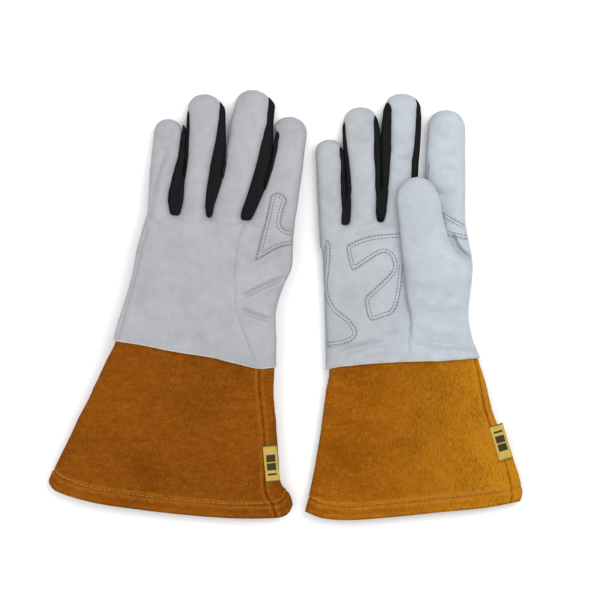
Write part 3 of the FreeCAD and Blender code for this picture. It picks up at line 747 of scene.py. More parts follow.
def mesh_from(name, points, faces, seam=None, normals=None, wear=None):
    """A smooth-shaded mesh from points in millimetres, with its seam dirt (on the cuffs also painted shade
    where the leather turns over at the sides) and its worn edges.
    """
    mesh = bpy.data.meshes.new(name)
    mesh.from_pydata((np.asarray(points) * MM).tolist(), [], [tuple(int(i) for i in f) for f in faces])
    mesh.polygons.foreach_set("use_smooth", [True] * len(mesh.polygons))
    for attribute, given in (("seam", seam), ("wear", wear)):
        values = np.zeros(len(mesh.vertices)) if given is None else given
        mesh.attributes.new(attribute, "FLOAT", "POINT").data.foreach_set(
            "value", np.asarray(values, np.float32),
        )
    if normals is not None:
        mesh.normals_split_custom_set_from_vertices(normals.tolist())
    return mesh


def evaluated(points, faces, modifiers):
    """Points and faces of a mesh after modifiers, in millimetres."""
    mesh = bpy.data.meshes.new("work")
    mesh.from_pydata((np.asarray(points) * MM).tolist(), [], [tuple(int(i) for i in f) for f in faces])
    work = bpy.data.objects.new("work", mesh)
    bpy.context.scene.collection.objects.link(work)
    for kind, settings in modifiers:
        modifier = work.modifiers.new(kind.lower(), kind)
        for setting, value in settings.items():
            setattr(modifier, setting, value)
    depsgraph = bpy.context.evaluated_depsgraph_get()
    result = bpy.data.meshes.new_from_object(work.evaluated_get(depsgraph))
    found = np.array([v.co for v in result.vertices]) / MM
    quads = [tuple(p.vertices) for p in result.polygons]
    bpy.data.objects.remove(work)
    bpy.data.meshes.remove(mesh)
    bpy.data.meshes.remove(result)
    return found, quads


def joined(*parts):
    points, faces, offset = [], [], 0
    for some, quads in parts:
        points.append(some)
        faces += [tuple(i + offset for i in f) for f in quads]
        offset += len(some)
    return np.vstack(points), faces


def joint_line(side, digit):
    """Where a finger bends: a point on the bend and the direction along the finger."""
    name = f"{side}_thumb_open" if digit == "thumb" else f"{side}_{digit}_bend"
    joint = next(j for j in frame["joints"] if j["name"] == name)
    spot = np.array(joint["pos_m"]) / MM
    axis = np.array(joint["axis"])
    along = np.array([-axis[1], axis[0]])
    along *= np.sign(along[1])
    return spot, along / np.linalg.norm(along)


# Half the stretch of leather that turns at a finger's bend.
BEND_HALF = 6.0


def blend_span(side, digit):
    """The stretch over which the leather turns at a bend, as two points in metres."""
    spot, along = joint_line(side, digit)
    run = np.array([*along, 0.0]) * BEND_HALF
    return tuple((spot - run) * MM), tuple((spot + run) * MM)


DIGITS = ("pinky", "ring", "middle", "index")
SKIN_VOXEL = 1.1
PALM_ROWS = 40
PALM_SQUARENESS, PALM_COLUMNS = 3.4, 72
FINGER_SQUARENESS, FINGER_COLUMNS = 2.5, 40
# Scale, amount and seed of the bumps in the skin.
SKIN_BUMPS = ((26, 1.1, 3.1), (11, 0.5, 7.7), (5.5, 0.16, 1.3))


def hand_skin(side):
    """The pale skin of the hand and fingers as one smooth tube, before it is parted at its seams."""
    shape = GLOVES[side]
    lefts, rights = (curve_through(shape[k], PALM_ROWS) for k in ("hand_left", "hand_right"))
    share = np.linspace(0, 1, PALM_ROWS)
    shoulder = np.sqrt(np.clip(1 - np.clip((share - 0.93) / 0.07, 0, 1) ** 2, 0.12, 1))
    half = HAND_DEPTH / 2 * shoulder
    low = HAND_DEPTH / 2 - half
    palm = tube(lefts, rights, low * 0.4, HAND_DEPTH / 2 + half, PALM_SQUARENESS, PALM_COLUMNS)
    tubes = [palm]
    for name in DIGITS:
        left, right, rounding, along = finger_edges(shape, name)
        height = FINGER_DEPTH / 2 * np.interp(along, (0, 0.35, 0.8, 1), (1.05, 1.0, 0.94, 0.86))
        height *= np.maximum(rounding, 0.16) ** 0.75
        tubes.append(tube(left, right, MIDDLE - height, MIDDLE + height, FINGER_SQUARENESS, FINGER_COLUMNS))
    points, faces = joined(*tubes)
    modifiers = [
        ("REMESH", {"mode": "VOXEL", "voxel_size": SKIN_VOXEL * MM, "use_smooth_shade": True}),
        ("SMOOTH", {"factor": 0.5, "iterations": 7}),
    ]
    return evaluated(points, faces, modifiers)


def dress_skin(lie, points):
    """Adds seams, creases and unevenness to a skin. Gives the new points and the seam shading."""
    side = lie.side
    upper = ease(MIDDLE - 1, MIDDLE + 3, points[:, 2])
    lift = np.zeros(len(points))
    seam = np.zeros(len(points))
    for line, depth, width, ends in UPPER_FOLDS[side]:
        lift += crease(points, upper, line, depth, width, ends)
    for line in UPPER_SEAMS[side]:
        gap, _ = distance_to(curve_through(line, 40), points)
        lift += (-0.6 * bell(gap, 0.9) + 0.25 * bell(gap - 2.4, 1.8)) * upper
        seam = np.maximum(seam, 0.3 * bell(gap, 0.7) * upper)
    bumps = sum(unevenness(points, *bump) for bump in SKIN_BUMPS)
    bumps *= ease(0.2, 3.0, points[:, 2])
    points = points.copy()
    points[:, 2] += lift + bumps * np.where(points[:, 2] > MIDDLE, 1.0, 0.5)
    points[:, :2] += 0.35 * unevenness(points, 14, 1.0, 9.2)[:, None]
    return points, seam


def part_skin(lie, points, faces):
    """Parts the skin at the side seams, the bends and the wrist."""
    side, shape = lie.side, lie.shape
    bm = bmesh.new()
    made = [bm.verts.new(p) for p in points]
    for face in faces:
        bm.faces.new([made[i] for i in face])

    def slit(centre, normal, wanted=None):
        chosen = [f for f in bm.faces if wanted is None or wanted(f.calc_center_median())]
        corners = {v for f in chosen for v in f.verts}
        edges = {e for f in chosen for e in f.edges}
        geometry_in = [*corners, *edges, *chosen]
        bmesh.ops.bisect_plane(bm, geom=geometry_in, plane_co=centre, plane_no=normal, dist=1e-5)

    slit((0, 0, MIDDLE), (0, 0, 1))
    bends = {}
    for name in DIGITS:
        spot, along = joint_line(side, name)
        start = spot[:2] - along * BEND_HALF
        across = np.array([along[1], -along[0]])
        reach = shape["digits"][name].widths[1] / 2 + 2.0
        bends[name] = (start, along, across, reach)

        def near(c, start=start, along=along, across=across, reach=reach):
            run = np.array([c.x, c.y]) - start
            return abs(run @ along) < 4 and abs(run @ across) < reach + 2

        slit((*start, 0), (*along, 0), near)
    line = np.array(shape["junction"])
    for a, b in zip(line, line[1:]):
        run = (b - a) / np.linalg.norm(b - a)

        def below(c, a=a, b=b):
            return a[0] - 3 < c.x < b[0] + 3 and abs(c.y - (a[1] + b[1]) / 2) < 16

        slit((*a, 0), (-run[1], run[0], 0), below)
    bm.verts.index_update()
    whole = np.array([v.co for v in bm.verts])
    quads = [tuple(v.index for v in f.verts) for f in bm.faces]
    centres = np.array([f.calc_center_median() for f in bm.faces])
    bm.free()
    wrist = np.interp(centres[:, 0], line[:, 0], line[:, 1])
    level = np.where(centres[:, 2] > MIDDLE, "upper", "lower")
    zone = np.full(len(quads), "hand", dtype=object)
    for name, (start, along, across, reach) in bends.items():
        run = centres[:, :2] - start
        zone[(run @ along > 0) & (np.abs(run @ across) < reach + 3)] = name
    zone[centres[:, 1] < wrist] = "off"
    return whole, quads, level, zone


def vertex_normals(points, faces):
    mesh = bpy.data.meshes.new("normals")
    mesh.from_pydata(points.tolist(), [], faces)
    mesh.update()
    found = np.array([v.vector for v in mesh.vertex_normals])
    bpy.data.meshes.remove(mesh)
    return found


def subset(points, faces, normals, seam, chosen):
    """The chosen faces with only the vertices that they use."""
    kept = [faces[i] for i in np.flatnonzero(chosen)]
    used = np.unique(np.concatenate([np.array(f) for f in kept]))
    where = {int(v): n for n, v in enumerate(used)}
    return points[used], [tuple(where[i] for i in f) for f in kept], normals[used], seam[used]


def build_skin(lie):
    """All pale leather of the hand and fingers of one glove. Returns the surface for later pieces."""
    side = lie.side
    palm_level = "upper" if lie.shape["palm_up"] else "lower"
    raw, faces = hand_skin(side)
    flat, quads, level, zone = part_skin(lie, raw, faces)
    dressed, seam = dress_skin(lie, flat)
    points = lie.settled(dressed)
    normals = vertex_normals(points, quads)
    finish = f"{side}_skin"
    for part in ("hand", *DIGITS):
        for which in ("upper", "lower"):
            chosen = (zone == part) & (level == which)
            if part == "index":
                if which == "lower":
                    continue
                chosen = zone == part
            if not chosen.any():
                continue
            face = "front" if which == palm_level else "back"
            if part == "hand":
                node = f"{side}_palm_panel" if face == "front" else f"{side}_back_panel"
                body, blend = f"{side}_hand", None
            elif part == "index":
                node = f"{side}_index_wrap"
                body, blend = f"{side}_hand", (f"{side}_index", *blend_span(side, part))
            else:
                node = f"{side}_{part}_{face}"
                body, blend = f"{side}_hand", (f"{side}_{part}", *blend_span(side, part))
            mesh = mesh_from(f"{node}_leather", *reordered(subset(points, quads, normals, seam, chosen)))
            finish_piece(f"{node}_leather", mesh, finish, body, (node,), blend)
    return BVHTree.FromPolygons([Vector(p) for p in points], quads)


def reordered(found):
    points, faces, normals, seam = found
    return points, faces, seam, normals


# ---------------------------------------------------------------- laying things on the leather


def top_of(surface, x, y, fallback):
    hit, normal, _, _ = surface.ray_cast(Vector((x, y, 80)), Vector((0, 0, -1)))
    if hit is None:
        return fallback, Vector((0, 0, 1))
    return hit.z, normal if normal.z > 0 else -normal


def patch_mesh(surface, outline, thick, cell=1.6):
    """A leather patch lying on a surface: rounded edge, even thickness."""
    edge = curve_through([*outline, outline[0]], max(int(len(outline) * 12), 60))[:-1]
    lows, highs = edge.min(axis=0), edge.max(axis=0)
    inner = []
    for x in np.arange(lows[0], highs[0], cell):
        for y in np.arange(lows[1], highs[1], cell):
            inner.append((x + 0.3 * math.sin(y * 3.1), y + 0.3 * math.cos(x * 2.7)))
    spots = [tuple(p) for p in edge] + inner
    count = len(edge)
    rim = [(i, (i + 1) % count) for i in range(count)]
    found, _, faces, _, _, _ = geometry.delaunay_2d_cdt(
        [Vector(p) for p in spots], rim, [list(range(count))], 1, 1e-4,
    )
    plan = np.array([tuple(p) for p in found])
    gap, _ = distance_to(np.vstack([edge, edge[:1]]), plan)
    heights = []
    for (x, y), g in zip(plan, gap):
        z, _ = top_of(surface, x, y, 15.0)
        heights.append(z + thick * (0.25 + 0.75 * math.sqrt(min(g / 1.3, 1.0))))
    top = np.column_stack([plan, heights])
    skirt = np.column_stack([edge, [top_of(surface, x, y, 15.0)[0] - 0.6 for x, y in edge]])
    points = np.vstack([top, skirt])
    base = len(top)
    faces = [tuple(f) for f in faces]
    nearest = [int(np.argmin(np.linalg.norm(plan - e, axis=1))) for e in edge]
    for i in range(count):
        j = (i + 1) % count
        faces.append((nearest[i], nearest[j], base + j, base + i))
    return points, faces, np.concatenate([bell(gap, 0.6) * 0.5, np.ones(count) * 0.6])


def stitch_shape():
    """One stitch as a small rounded bead along X, 1 long and 1 thick."""
    rows = []
    for s in np.linspace(-0.5, 0.5, 6):
        swell = math.sqrt(max(1 - (2 * s) ** 4, 0.05))
        for k in range(6):
            a = k * math.pi / 3
            rows.append((s, 0.5 * swell * math.cos(a), 0.5 * swell * math.sin(a)))
    return np.array(rows), grid_faces(6, 6, True)


STITCH = stitch_shape()


def sew(surface, lines, length=1.7, gap=1.0, thick=0.45, lift=0.1):
    """Stitches, and dark dots of painted shade at their needle holes, along plan lines on the upper face."""
    stitches, holes = [], []
    shape, quads = STITCH
    for line in lines:
        total = np.linalg.norm(np.diff(np.array(line, float), axis=0), axis=1).sum()
        smooth = curve_through(line, max(int(total / (length + gap)) * 2 + 1, 5))
        for a, b in zip(smooth[:-1:2], smooth[1::2]):
            run = b - a
            z, normal = top_of(surface, *b, None)
            if z is None:
                continue
            x_axis = Vector((*run, 0)).normalized()
            x_axis = (x_axis - normal * x_axis.dot(normal)).normalized()
            y_axis = normal.cross(x_axis)
            turn = np.array([x_axis, y_axis, normal]).T
            centre = np.array([*b, z]) + np.array(normal) * lift
            bead = shape * np.array([length, thick, thick * 0.8])
            stitches.append((bead @ turn.T + centre, quads))
            # painted shade: a flat dark dot at each end of a stitch, where the needle hole is
            for end in (-1, 1):
                spot = shape * np.array([0.7, 0.6, 0.24])
                past_end = turn[:, 0] * end * (length / 2 + gap * 0.3)
                place = np.array([*b, z]) + past_end + np.array(normal) * 0.06
                holes.append((spot @ turn.T + place, quads))
    return stitches, holes


def cord_along(points, radius, sides=8):
    """A thin round cord through points in space."""
    run = np.gradient(points, axis=0)
    run /= np.linalg.norm(run, axis=1)[:, None] + 1e-9
    up = np.array([0.0, 0.0, 1.0])
    side = np.cross(run, up)
    side /= np.linalg.norm(side, axis=1)[:, None] + 1e-9
    lift = np.cross(side, run)
    rings = []
    for k in range(sides):
        a = 2 * math.pi * k / sides
        rings.append(points + radius * (math.cos(a) * side + math.sin(a) * lift))
    stacked = np.stack(rings, axis=1).reshape(-1, 3)
    return stacked, grid_faces(len(points), sides, True)


# ---------------------------------------------------------------- hands and fingers

lies = {side: Lie(side) for side in GLOVES}
leather = {side: build_skin(lie) for side, lie in lies.items()}

# ---------------------------------------------------------------- black side strips

# Half a strip's height, how far it goes in under the pale leather, and the length over which it fills out.
STRIP_HEIGHT = 3.6
TUCK = 2.2
STRIP_LAP = 9.0
STRIP_SQUARENESS, STRIP_COLUMNS, STRIP_ROWS = 2.4, 24, 60


def strip_tube(lie, rows, valley=0.0):
    """A flattened black tube from rows of left, right, height along the finger and fullness."""
    lefts, rights, fullness = rows[:, 0:2], rows[:, 2:4], rows[:, 4]
    points, faces = tube(
        lefts, rights, MIDDLE - STRIP_HEIGHT * fullness, MIDDLE + STRIP_HEIGHT * fullness,
        STRIP_SQUARENESS, STRIP_COLUMNS,
    )
    middles = (lefts + rights) / 2
    gap, along = distance_to(middles, points)
    points[:, 2] -= valley * bell(gap, 1.1) * (points[:, 2] > MIDDLE) * ease(0.15, 0.5, along)
    points[:, 2] += unevenness(points, 7, 0.7, 5.5)
    points[:, :2] += 0.35 * unevenness(points, 9, 1.0, 2.2)[:, None]
    return lie.settled(points), faces


def rounded_end(y, top, length=7.0):
    """How full a strip is at a height, as it runs out below its top."""
    return np.sqrt(np.clip(1 - np.clip((y - top + length) / length, 0, 1) ** 2, 0.03, 1))


def moving_strip(shape, name, hand, start):
    """Rows of a finger's own strip from its bend to below its tip."""
    strip = shape["right_strips" if hand > 0 else "left_strips"][name]
    top = min(strip["pale"][-1][0], strip["black"][-1][0]) + 1.0
    y = np.linspace(start, top, STRIP_ROWS)
    pale, black = (np.interp(y, *np.array(strip[k], float).T) for k in ("pale", "black"))
    full = rounded_end(y, top)
    inner = pale - hand * TUCK
    outer = inner + (black - inner) * np.maximum(full, 0.4)
    low, high = (inner, outer) if hand > 0 else (outer, inner)
    emerging = 0.6 + 0.4 * ease(start, start + STRIP_LAP, y)
    return np.column_stack([low, y, high, y, full * emerging])


def crotch_rows(shape, first, second, crotch, stop):
    """Rows of the black web between two fingers, from its rounded foot to the bends."""
    left, right = shape["right_strips"][first], shape["left_strips"][second]
    foot = crotch[1] - 3.5
    t = np.linspace(0, 1, STRIP_ROWS)
    y_left, y_right = foot + (stop[0] - foot) * t, foot + (stop[1] - foot) * t
    a = np.interp(y_left, *np.array(left["pale"], float).T) - TUCK * ease(0, 0.25, t)
    b = np.interp(y_right, *np.array(right["pale"], float).T) + TUCK * ease(0, 0.25, t)
    full = np.sqrt(np.clip(1 - (1 - np.clip(t / 0.3, 0, 1)) ** 2, 0.05, 1)) * (1 - 0.25 * ease(0.75, 1.0, t))
    middle = (a + b) / 2
    return np.column_stack([
        middle + (a - middle) * full, y_left, middle + (b - middle) * full, y_right, full,
    ])


def bend_start(side, digit, x):
    """How far along a finger its bend begins, at a place across the hand."""
    spot, along = joint_line(side, digit)
    foot = spot[:2] - along * BEND_HALF
    return foot[1] - (x - foot[0]) * along[0] / along[1]


def past_bend(side, digit, plan):
    spot, along = joint_line(side, digit)
    return (plan - spot[:2]) @ along > -BEND_HALF


NEIGHBOURS = (("pinky", "ring"), ("ring", "middle"), ("middle", "index"))
STRIP_NODES = {
    ("pinky", 1): "pinky_strip", ("ring", -1): "ring_left_strip", ("ring", 1): "ring_right_strip",
    ("middle", -1): "middle_left_strip", ("middle", 1): "middle_right_strip", ("index", -1): "index_strip",
}

for side, lie in lies.items():
    shape = lie.shape
    for (first, second), crotch in zip(NEIGHBOURS, shape["crotches"]):
        stops = []
        for name, hand in ((first, 1), (second, -1)):
            guess = bend_start(side, name, crotch[0])
            strip = shape["right_strips" if hand > 0 else "left_strips"][name]
            start = bend_start(side, name, np.interp(guess, *np.array(strip["pale"], float).T))
            stops.append(start)
            points, faces = strip_tube(lie, moving_strip(shape, name, hand, start - STRIP_LAP))
            node = f"{side}_{STRIP_NODES[(name, hand)]}"
            blend = (f"{side}_{name}", *blend_span(side, name))
            finish_piece(
                f"{node}_leather", mesh_from(node, points, faces), "black", f"{side}_hand", (node,), blend,
            )
        points, faces = strip_tube(lie, crotch_rows(shape, first, second, crotch, stops), 1.6)
        node = f"{side}_{first}_{second}_crotch_strip"
        finish_piece(f"{node}_leather", mesh_from(node, points, faces), "black", f"{side}_hand", (node,))

# ---------------------------------------------------------------- patches and their stitching

PALM_PATCH = [
    (90.2, 57.2), (68.4, 55.0), (53.8, 49.9), (48.7, 46.3), (49.4, 38.9), (53.1, 27.3), (59.6, 30.2),
    (74.3, 39.7),
    (81.5, 40.4), (85.2, 33.2), (84.5, 27.3), (77.2, 19.2), (66.9, 9.7), (63.3, 5.4), (64.0, -3.4),
    (67.7, -12.2),
    (77.2, -10.0), (86.7, -5.6), (91.6, 9.7), (94.0, 31.6), (94.0, 48.0),
]
HEEL_PATCH = [
    (32.5, 52.1), (35.6, 49.1), (36.3, 37.5), (34.0, 17.1), (34.8, 8.3), (40.6, -2.0), (50.9, -10.7),
    (57.0, -19.5),
    (55.2, -26.8), (46.5, -31.2), (34.6, -33.3), (32.6, -20.0), (31.4, 6.0), (30.6, 32.0),
]
INDEX_BAND = [
    (124.6, 74.2), (133.0, 69.2), (142.9, 63.6), (143.6, 57.0), (144.4, 51.4), (136.0, 53.2), (128.0, 55.2),
    (126.4, 63.0),
]
BACK_PATCH = [
    (-11.4, 84.0), (-8.6, 88.2), (-3.8, 88.2), (1.6, 83.6), (-0.4, 76.2), (-2.4, 69.1), (-2.6, 62.4),
    (0.6, 59.6), (6.2, 58.8),
    (6.4, 52.0), (5.6, 46.8), (-1.5, 45.8), (-8.6, 43.1), (-15.6, 38.8), (-22.6, 35.6), (-20.6, 45.1),
    (-17.1, 59.3), (-14.2, 70.5),
]
PATCH_THICK = 0.5
FOLLOW = (-137.0, 3.0)


def beside(line, distance):
    """A plan line moved to its right."""
    smooth = curve_through(line, 160)
    run = np.gradient(smooth, axis=0)
    run /= np.linalg.norm(run, axis=1)[:, None]
    moved = smooth + np.column_stack([run[:, 1], -run[:, 0]]) * distance
    gap, _ = distance_to(smooth, moved)
    moved = moved[gap > 0.93 * abs(distance)]
    for _ in range(3):
        moved[1:-1] = (moved[:-2] + 2 * moved[1:-1] + moved[2:]) / 4
    return [tuple(p) for p in moved[::2]]


def add_stitches(name, found, body, finish="grey_thread", blend=None, holes=True):
    stitches, marks = found
    if not stitches:
        return
    points, faces = joined(*stitches)
    finish_piece(f"{name}_stitches", mesh_from(name, points, faces), finish, body, (), blend)
    if holes and marks:
        # dark dots of painted shade at the needle holes
        points, faces = joined(*marks)
        finish_piece(f"{name}_needle_hole_shades", mesh_from(name, points, faces), "hole", body, (), blend)


# sewn edges of each patch, run with the patch on their right, and the rows inside the edge
HEEL_EDGE = [
    (31.6, 50.4), (33.6, 51.6), (35.8, 49.1), (36.5, 37.5), (34.6, 17.1), (35.2, 8.3), (40.6, -2.0),
    (50.9, -10.7), (57.0, -19.5), (55.2, -26.8), (46.5, -31.2), (33.4, -33.3),
]


def lay_patch(side, node, outline, edges, rows, finish, body):
    """A patch on the upper face, with rows of stitches inside its sewn edges."""
    surface = leather[side]
    points, faces, seam = patch_mesh(surface, outline, PATCH_THICK)
    name = f"{side}_{node}"
    finish_piece(f"{name}_leather", mesh_from(name, points, faces, seam), finish, body, (name,))
    raised = BVHTree.FromPolygons([Vector(p) for p in points], faces)
    lines = [beside(edge, row) for edge in edges for row in rows]
    add_stitches(name, sew(raised, lines), body)


lay_patch("right", "palm_patch", PALM_PATCH, [PALM_PATCH[19::-1]], (1.0, 3.4), "right_skin", "right_hand")
lay_patch("right", "heel_patch", HEEL_PATCH, [HEEL_EDGE], (1.0, 3.4), "right_skin", "right_hand")
lay_patch(
    "right", "index_patch", INDEX_BAND, [INDEX_BAND[:3], INDEX_BAND[4:7]], (1.0, 3.3), "right_skin",
    "right_hand",
)
lay_patch(
    "left", "index_patch", BACK_PATCH, [BACK_PATCH[10:] + BACK_PATCH[:9]], (1.0, 3.4), "left_skin",
    "left_hand",
)


def lay_beneath(side, node, outline, finish, body, shift):
    """A patch on the lower face, which looks down."""
    surface = leather[side]
    moved = [(x + shift[0], y + shift[1]) for x, y in outline]

    class Under:
        """The lower face seen from below, turned over so that a patch can be laid on it."""

        def ray_cast(self, start, _direction):
            hit, normal, index, gap = surface.ray_cast(Vector((start.x, start.y, -80)), Vector((0, 0, 1)))
            if hit is None:
                return hit, normal, index, gap
            return Vector((hit.x, hit.y, -hit.z)), Vector((normal.x, normal.y, -normal.z)), index, gap

    points, faces, seam = patch_mesh(Under(), moved, PATCH_THICK, cell=2.4)
    points[:, 2] *= -1
    faces = [f[::-1] for f in faces]
    name = f"{side}_{node}"
    finish_piece(f"{name}_leather", mesh_from(name, points, faces, seam), finish, body, (name,))


lay_beneath("left", "palm_patch", PALM_PATCH, "left_skin", "left_hand", FOLLOW)
lay_beneath("left", "heel_patch", HEEL_PATCH, "left_skin", "left_hand", FOLLOW)

# ---------------------------------------------------------------- thumbs

# left edge, right edge, lowest and highest, from the wrist to the tip, as the palm-up glove has them
THUMB_ROWS = [
    (99.4, -43, 153.4, -42, 5.0, 10.0), (98.9, -36, 151.6, -36, 6.0, 14.0),
    (99.3, -26, 148.2, -26, 7.0, 17.8),
    (99.6, -10, 145.2, -9, 7.0, 21.4),
    (96.4, 4, 146.2, 7, 6.5, 24.0), (94.8, 18, 147.8, 21, 7.5, 26.4), (93.9, 30, 146.2, 32.5, 10.0, 27.8),
    (92.6, 40, 138.0, 38.4, 13.5, 28.6), (91.6, 50, 130.8, 48, 15.6, 28.8), (90.4, 62, 127.2, 60, 16.4, 28.6),
    (89.2, 74, 124.2, 73, 16.6, 28.2), (88.3, 84, 121.6, 86, 16.8, 27.6),
    (91.0, 93.2, 117.3, 94.6, 17.2, 26.6),
    (97.4, 99.2, 111.8, 99.3, 18.4, 24.8), (103.5, 101.0, 106.0, 101.0, 20.6, 22.8),
]
THUMB_COLUMNS = 56

# the same for the thumb that lies hidden beneath the other glove, from its wrist end to its tip
HIDDEN_THUMB_ROWS = [
    (-52, -42, -16, -42, 9.0, 16.6), (-53, -26, -17, -26, 8.0, 19.4), (-54, -10, -18.5, -10, 8.5, 23.5),
    (-54.5, 8, -20, 8, 12.0, 27.0), (-54, 30, -20.8, 30, 15.6, 28.4), (-53.4, 48, -20.2, 48, 16.6, 28.6),
    (-51.5, 62, -19.6, 62, 16.8, 28.4), (-48, 71.5, -21.5, 71.5, 17.2, 27.4),
    (-42, 77, -26.5, 77, 18.6, 25.6),
    (-36.4, 78.6, -32, 78.6, 20.6, 23.4),
]

THUMB_FOLDS = [
    ([(100, 60), (110, 57), (122, 60)], -0.7, 3.0, 0.35), ([(98, 20), (118, 8), (142, 6)], -0.9, 4.0, 0.35),
    ([(104, 2), (122, -12), (144, -18)], -1.0, 3.6, 0.35),
    ([(112, 44), (124, 34), (138, 24)], -0.8, 4.0, 0.35),
    ([(96, 86), (104, 83), (114, 86)], -0.4, 3.0, 0.35),
    ([(101, -18), (118, -28), (146, -32)], -1.0, 2.8, 0.35),
]


def build_thumb(side):
    """The thumb: its root joins the hand, and its outer part is parted into upper and lower halves."""
    rows = curve_through(THUMB_ROWS if side == "right" else HIDDEN_THUMB_ROWS, 110)
    lefts, rights, lows, highs = rows[:, 0:2], rows[:, 2:4], rows[:, 4], rows[:, 5]
    squareness = 2.35 + 3.2 * ease(-25.0, 45.0, 20.0 - (lefts[:, 1] + rights[:, 1]) / 2)
    points, faces = tube(lefts, rights, lows, highs, squareness, THUMB_COLUMNS)
    if side == "right":
        upper = ease(16, 21, points[:, 2])
        points[:, 2] += sum(crease(points, upper, *fold) for fold in THUMB_FOLDS)
    points[:, 2] += unevenness(points, 21, 0.9, 4.4) + unevenness(points, 9, 0.35, 8.1)
    if side == "left":
        points[:, 2] = np.maximum(LEFT_RISE + HAND_DEPTH - points[:, 2], 0.3)
        faces = [f[::-1] for f in faces]
    count = len(rows)
    middles = (points[: count * THUMB_COLUMNS].reshape(count, THUMB_COLUMNS, 3)).mean(axis=1)
    outer = past_bend(side, "thumb", middles[:, :2])
    first_outer = int(np.argmax(outer))
    normals = vertex_normals(points, faces)
    seam = np.zeros(len(points))
    where = np.array([f[0] if len(f) == 4 else f[1] for f in faces])
    row = np.where(where < count * THUMB_COLUMNS, where // THUMB_COLUMNS, 0)
    column = where % THUMB_COLUMNS
    top_half = column < THUMB_COLUMNS // 2
    is_outer = row >= first_outer
    far_cap = np.array([len(f) == 3 and f[0] == len(points) - 1 for f in faces])
    is_outer |= far_cap
    finish = f"{side}_skin"
    hand = f"{side}_hand"
    upper_part = "thumb_back"
    lower_part = "thumb_front"
    for node, chosen, moves in (
        ("thumb_base", ~is_outer, False), (upper_part, is_outer & top_half, True),
        (lower_part, is_outer & ~top_half, True),
    ):
        name = f"{side}_{node}"
        mesh = mesh_from(name, *reordered(subset(points, faces, normals, seam, chosen)))
        blend = (f"{side}_thumb", *blend_span(side, "thumb")) if moves else None
        finish_piece(f"{name}_leather", mesh, finish, hand, (name,), blend)


for side in GLOVES:
    build_thumb(side)

# ---------------------------------------------------------------- cuffs

CUFF_LEATHER = 1.6
HEM = 12.0
CUFF_ROWS = 118


def grid_normals(grid):
    down = np.gradient(grid, axis=0)
    over = np.gradient(grid, axis=1)
    found = np.cross(over, down)
    return found / (np.linalg.norm(found, axis=2)[:, :, None] + 1e-9)


def thicken(grid, thickness):
    """Gives an open grid of points a thickness inwards. Returns points and faces."""
    rows, columns = grid.shape[:2]
    normal = grid_normals(grid)
    inner = grid - normal * thickness
    points = np.vstack([grid.reshape(-1, 3), inner.reshape(-1, 3)])
    faces = grid_faces(rows, columns, False)
    offset = rows * columns
    faces += [tuple(i + offset for i in f[::-1]) for f in faces]
    rim = [(0, j) for j in range(columns)] + [(i, columns - 1) for i in range(1, rows)]
    rim += [(rows - 1, j) for j in range(columns - 2, -1, -1)] + [(i, 0) for i in range(rows - 2, 0, -1)]
    loop = [i * columns + j for i, j in rim]
    faces += [(a, b, b + offset, a + offset) for a, b in zip(loop, loop[1:] + loop[:1])]
    return points, faces


def resample(loop, count):
    steps = np.concatenate([[0], np.cumsum(np.linalg.norm(np.diff(loop, axis=0), axis=1))])
    at = np.linspace(0, steps[-1], count)
    return np.column_stack([np.interp(at, steps, loop[:, k]) for k in range(loop.shape[1])])


CUFF_FOLDS = {
    "left": [
        ([(-140, -60), (-120, -80), (-100, -90)], -1.0, 7.0, 0.4),
        ([(-70, -50), (-76, -90), (-90, -130)], -0.9, 9.0, 0.4),
        ([(-40, -60), (-30, -90), (-34, -130)], 0.9, 9.0, 0.4),
        ([(-120, -100), (-124, -125), (-136, -145)], 0.8, 8.0, 0.4),
    ],
    "right": [
        ([(60, -56), (70, -90), (66, -130)], -1.0, 8.0, 0.4),
        ([(110, -54), (118, -84), (130, -120)], -1.1, 8.0, 0.4),
        ([(90, -60), (92, -90), (98, -125)], 0.8, 8.0, 0.4),
        ([(44, -70), (48, -100), (44, -130)], 0.6, 7.0, 0.4),
    ],
}

CUFF_SQUARENESS = 4.2


def cuff_section(side, share, start, stop, count):
    """Part of the closed section of a cuff, from one girth angle to another, as rows down the cuff."""
    shape = GLOVES[side]
    down = curve_through(shape["cuff_left"], CUFF_ROWS), curve_through(shape["cuff_right"], CUFF_ROWS)
    power = 2 / CUFF_SQUARENESS
    top, hem = (curve_through(shape[k], 200) for k in ("cuff_top", "cuff_hem"))
    spread = np.linspace(0, 1, 200)
    grid = []
    for v, left, right in zip(share, *down):
        width = np.linalg.norm(right - left)
        gusset = np.interp(v, (0, 0.5, 1), shape["gusset"])
        edge = math.acos(min(max((1 - 2 * gusset / width), 0.0), 1.0) ** (1 / power))
        angle = np.linspace(start(edge), stop(edge), 500)
        c, s = np.cos(angle), np.sin(angle)
        u = (1 + np.sign(c) * np.abs(c) ** power) / 2
        up = np.sign(s) * np.abs(s) ** power
        along_top = np.column_stack([np.interp(u, spread, top[:, k]) for k in (0, 1)])
        along_hem = np.column_stack([np.interp(u, spread, hem[:, k]) for k in (0, 1)])
        sides = (1 - u)[:, None] * left + u[:, None] * right
        corners = (1 - v) * ((1 - u)[:, None] * top[0] + u[:, None] * top[-1]) + v * (
            (1 - u)[:, None] * hem[0] + u[:, None] * hem[-1]
        )
        plan = (1 - v) * along_top + v * along_hem + sides - corners
        half = np.interp(
            v, (0, 0.1, 0.22, 0.9, 1), (5.4, 6.0, 6.9, CUFF_DEPTH / 2 - 0.9, CUFF_DEPTH / 2 - 0.9),
        )
        middle = np.interp(v, (0, 0.2, 1), (HAND_DEPTH / 2, HAND_DEPTH / 2, CUFF_DEPTH / 2))
        row = np.column_stack([plan, middle + up * half])
        grid.append(resample(row, count))
    return np.array(grid)


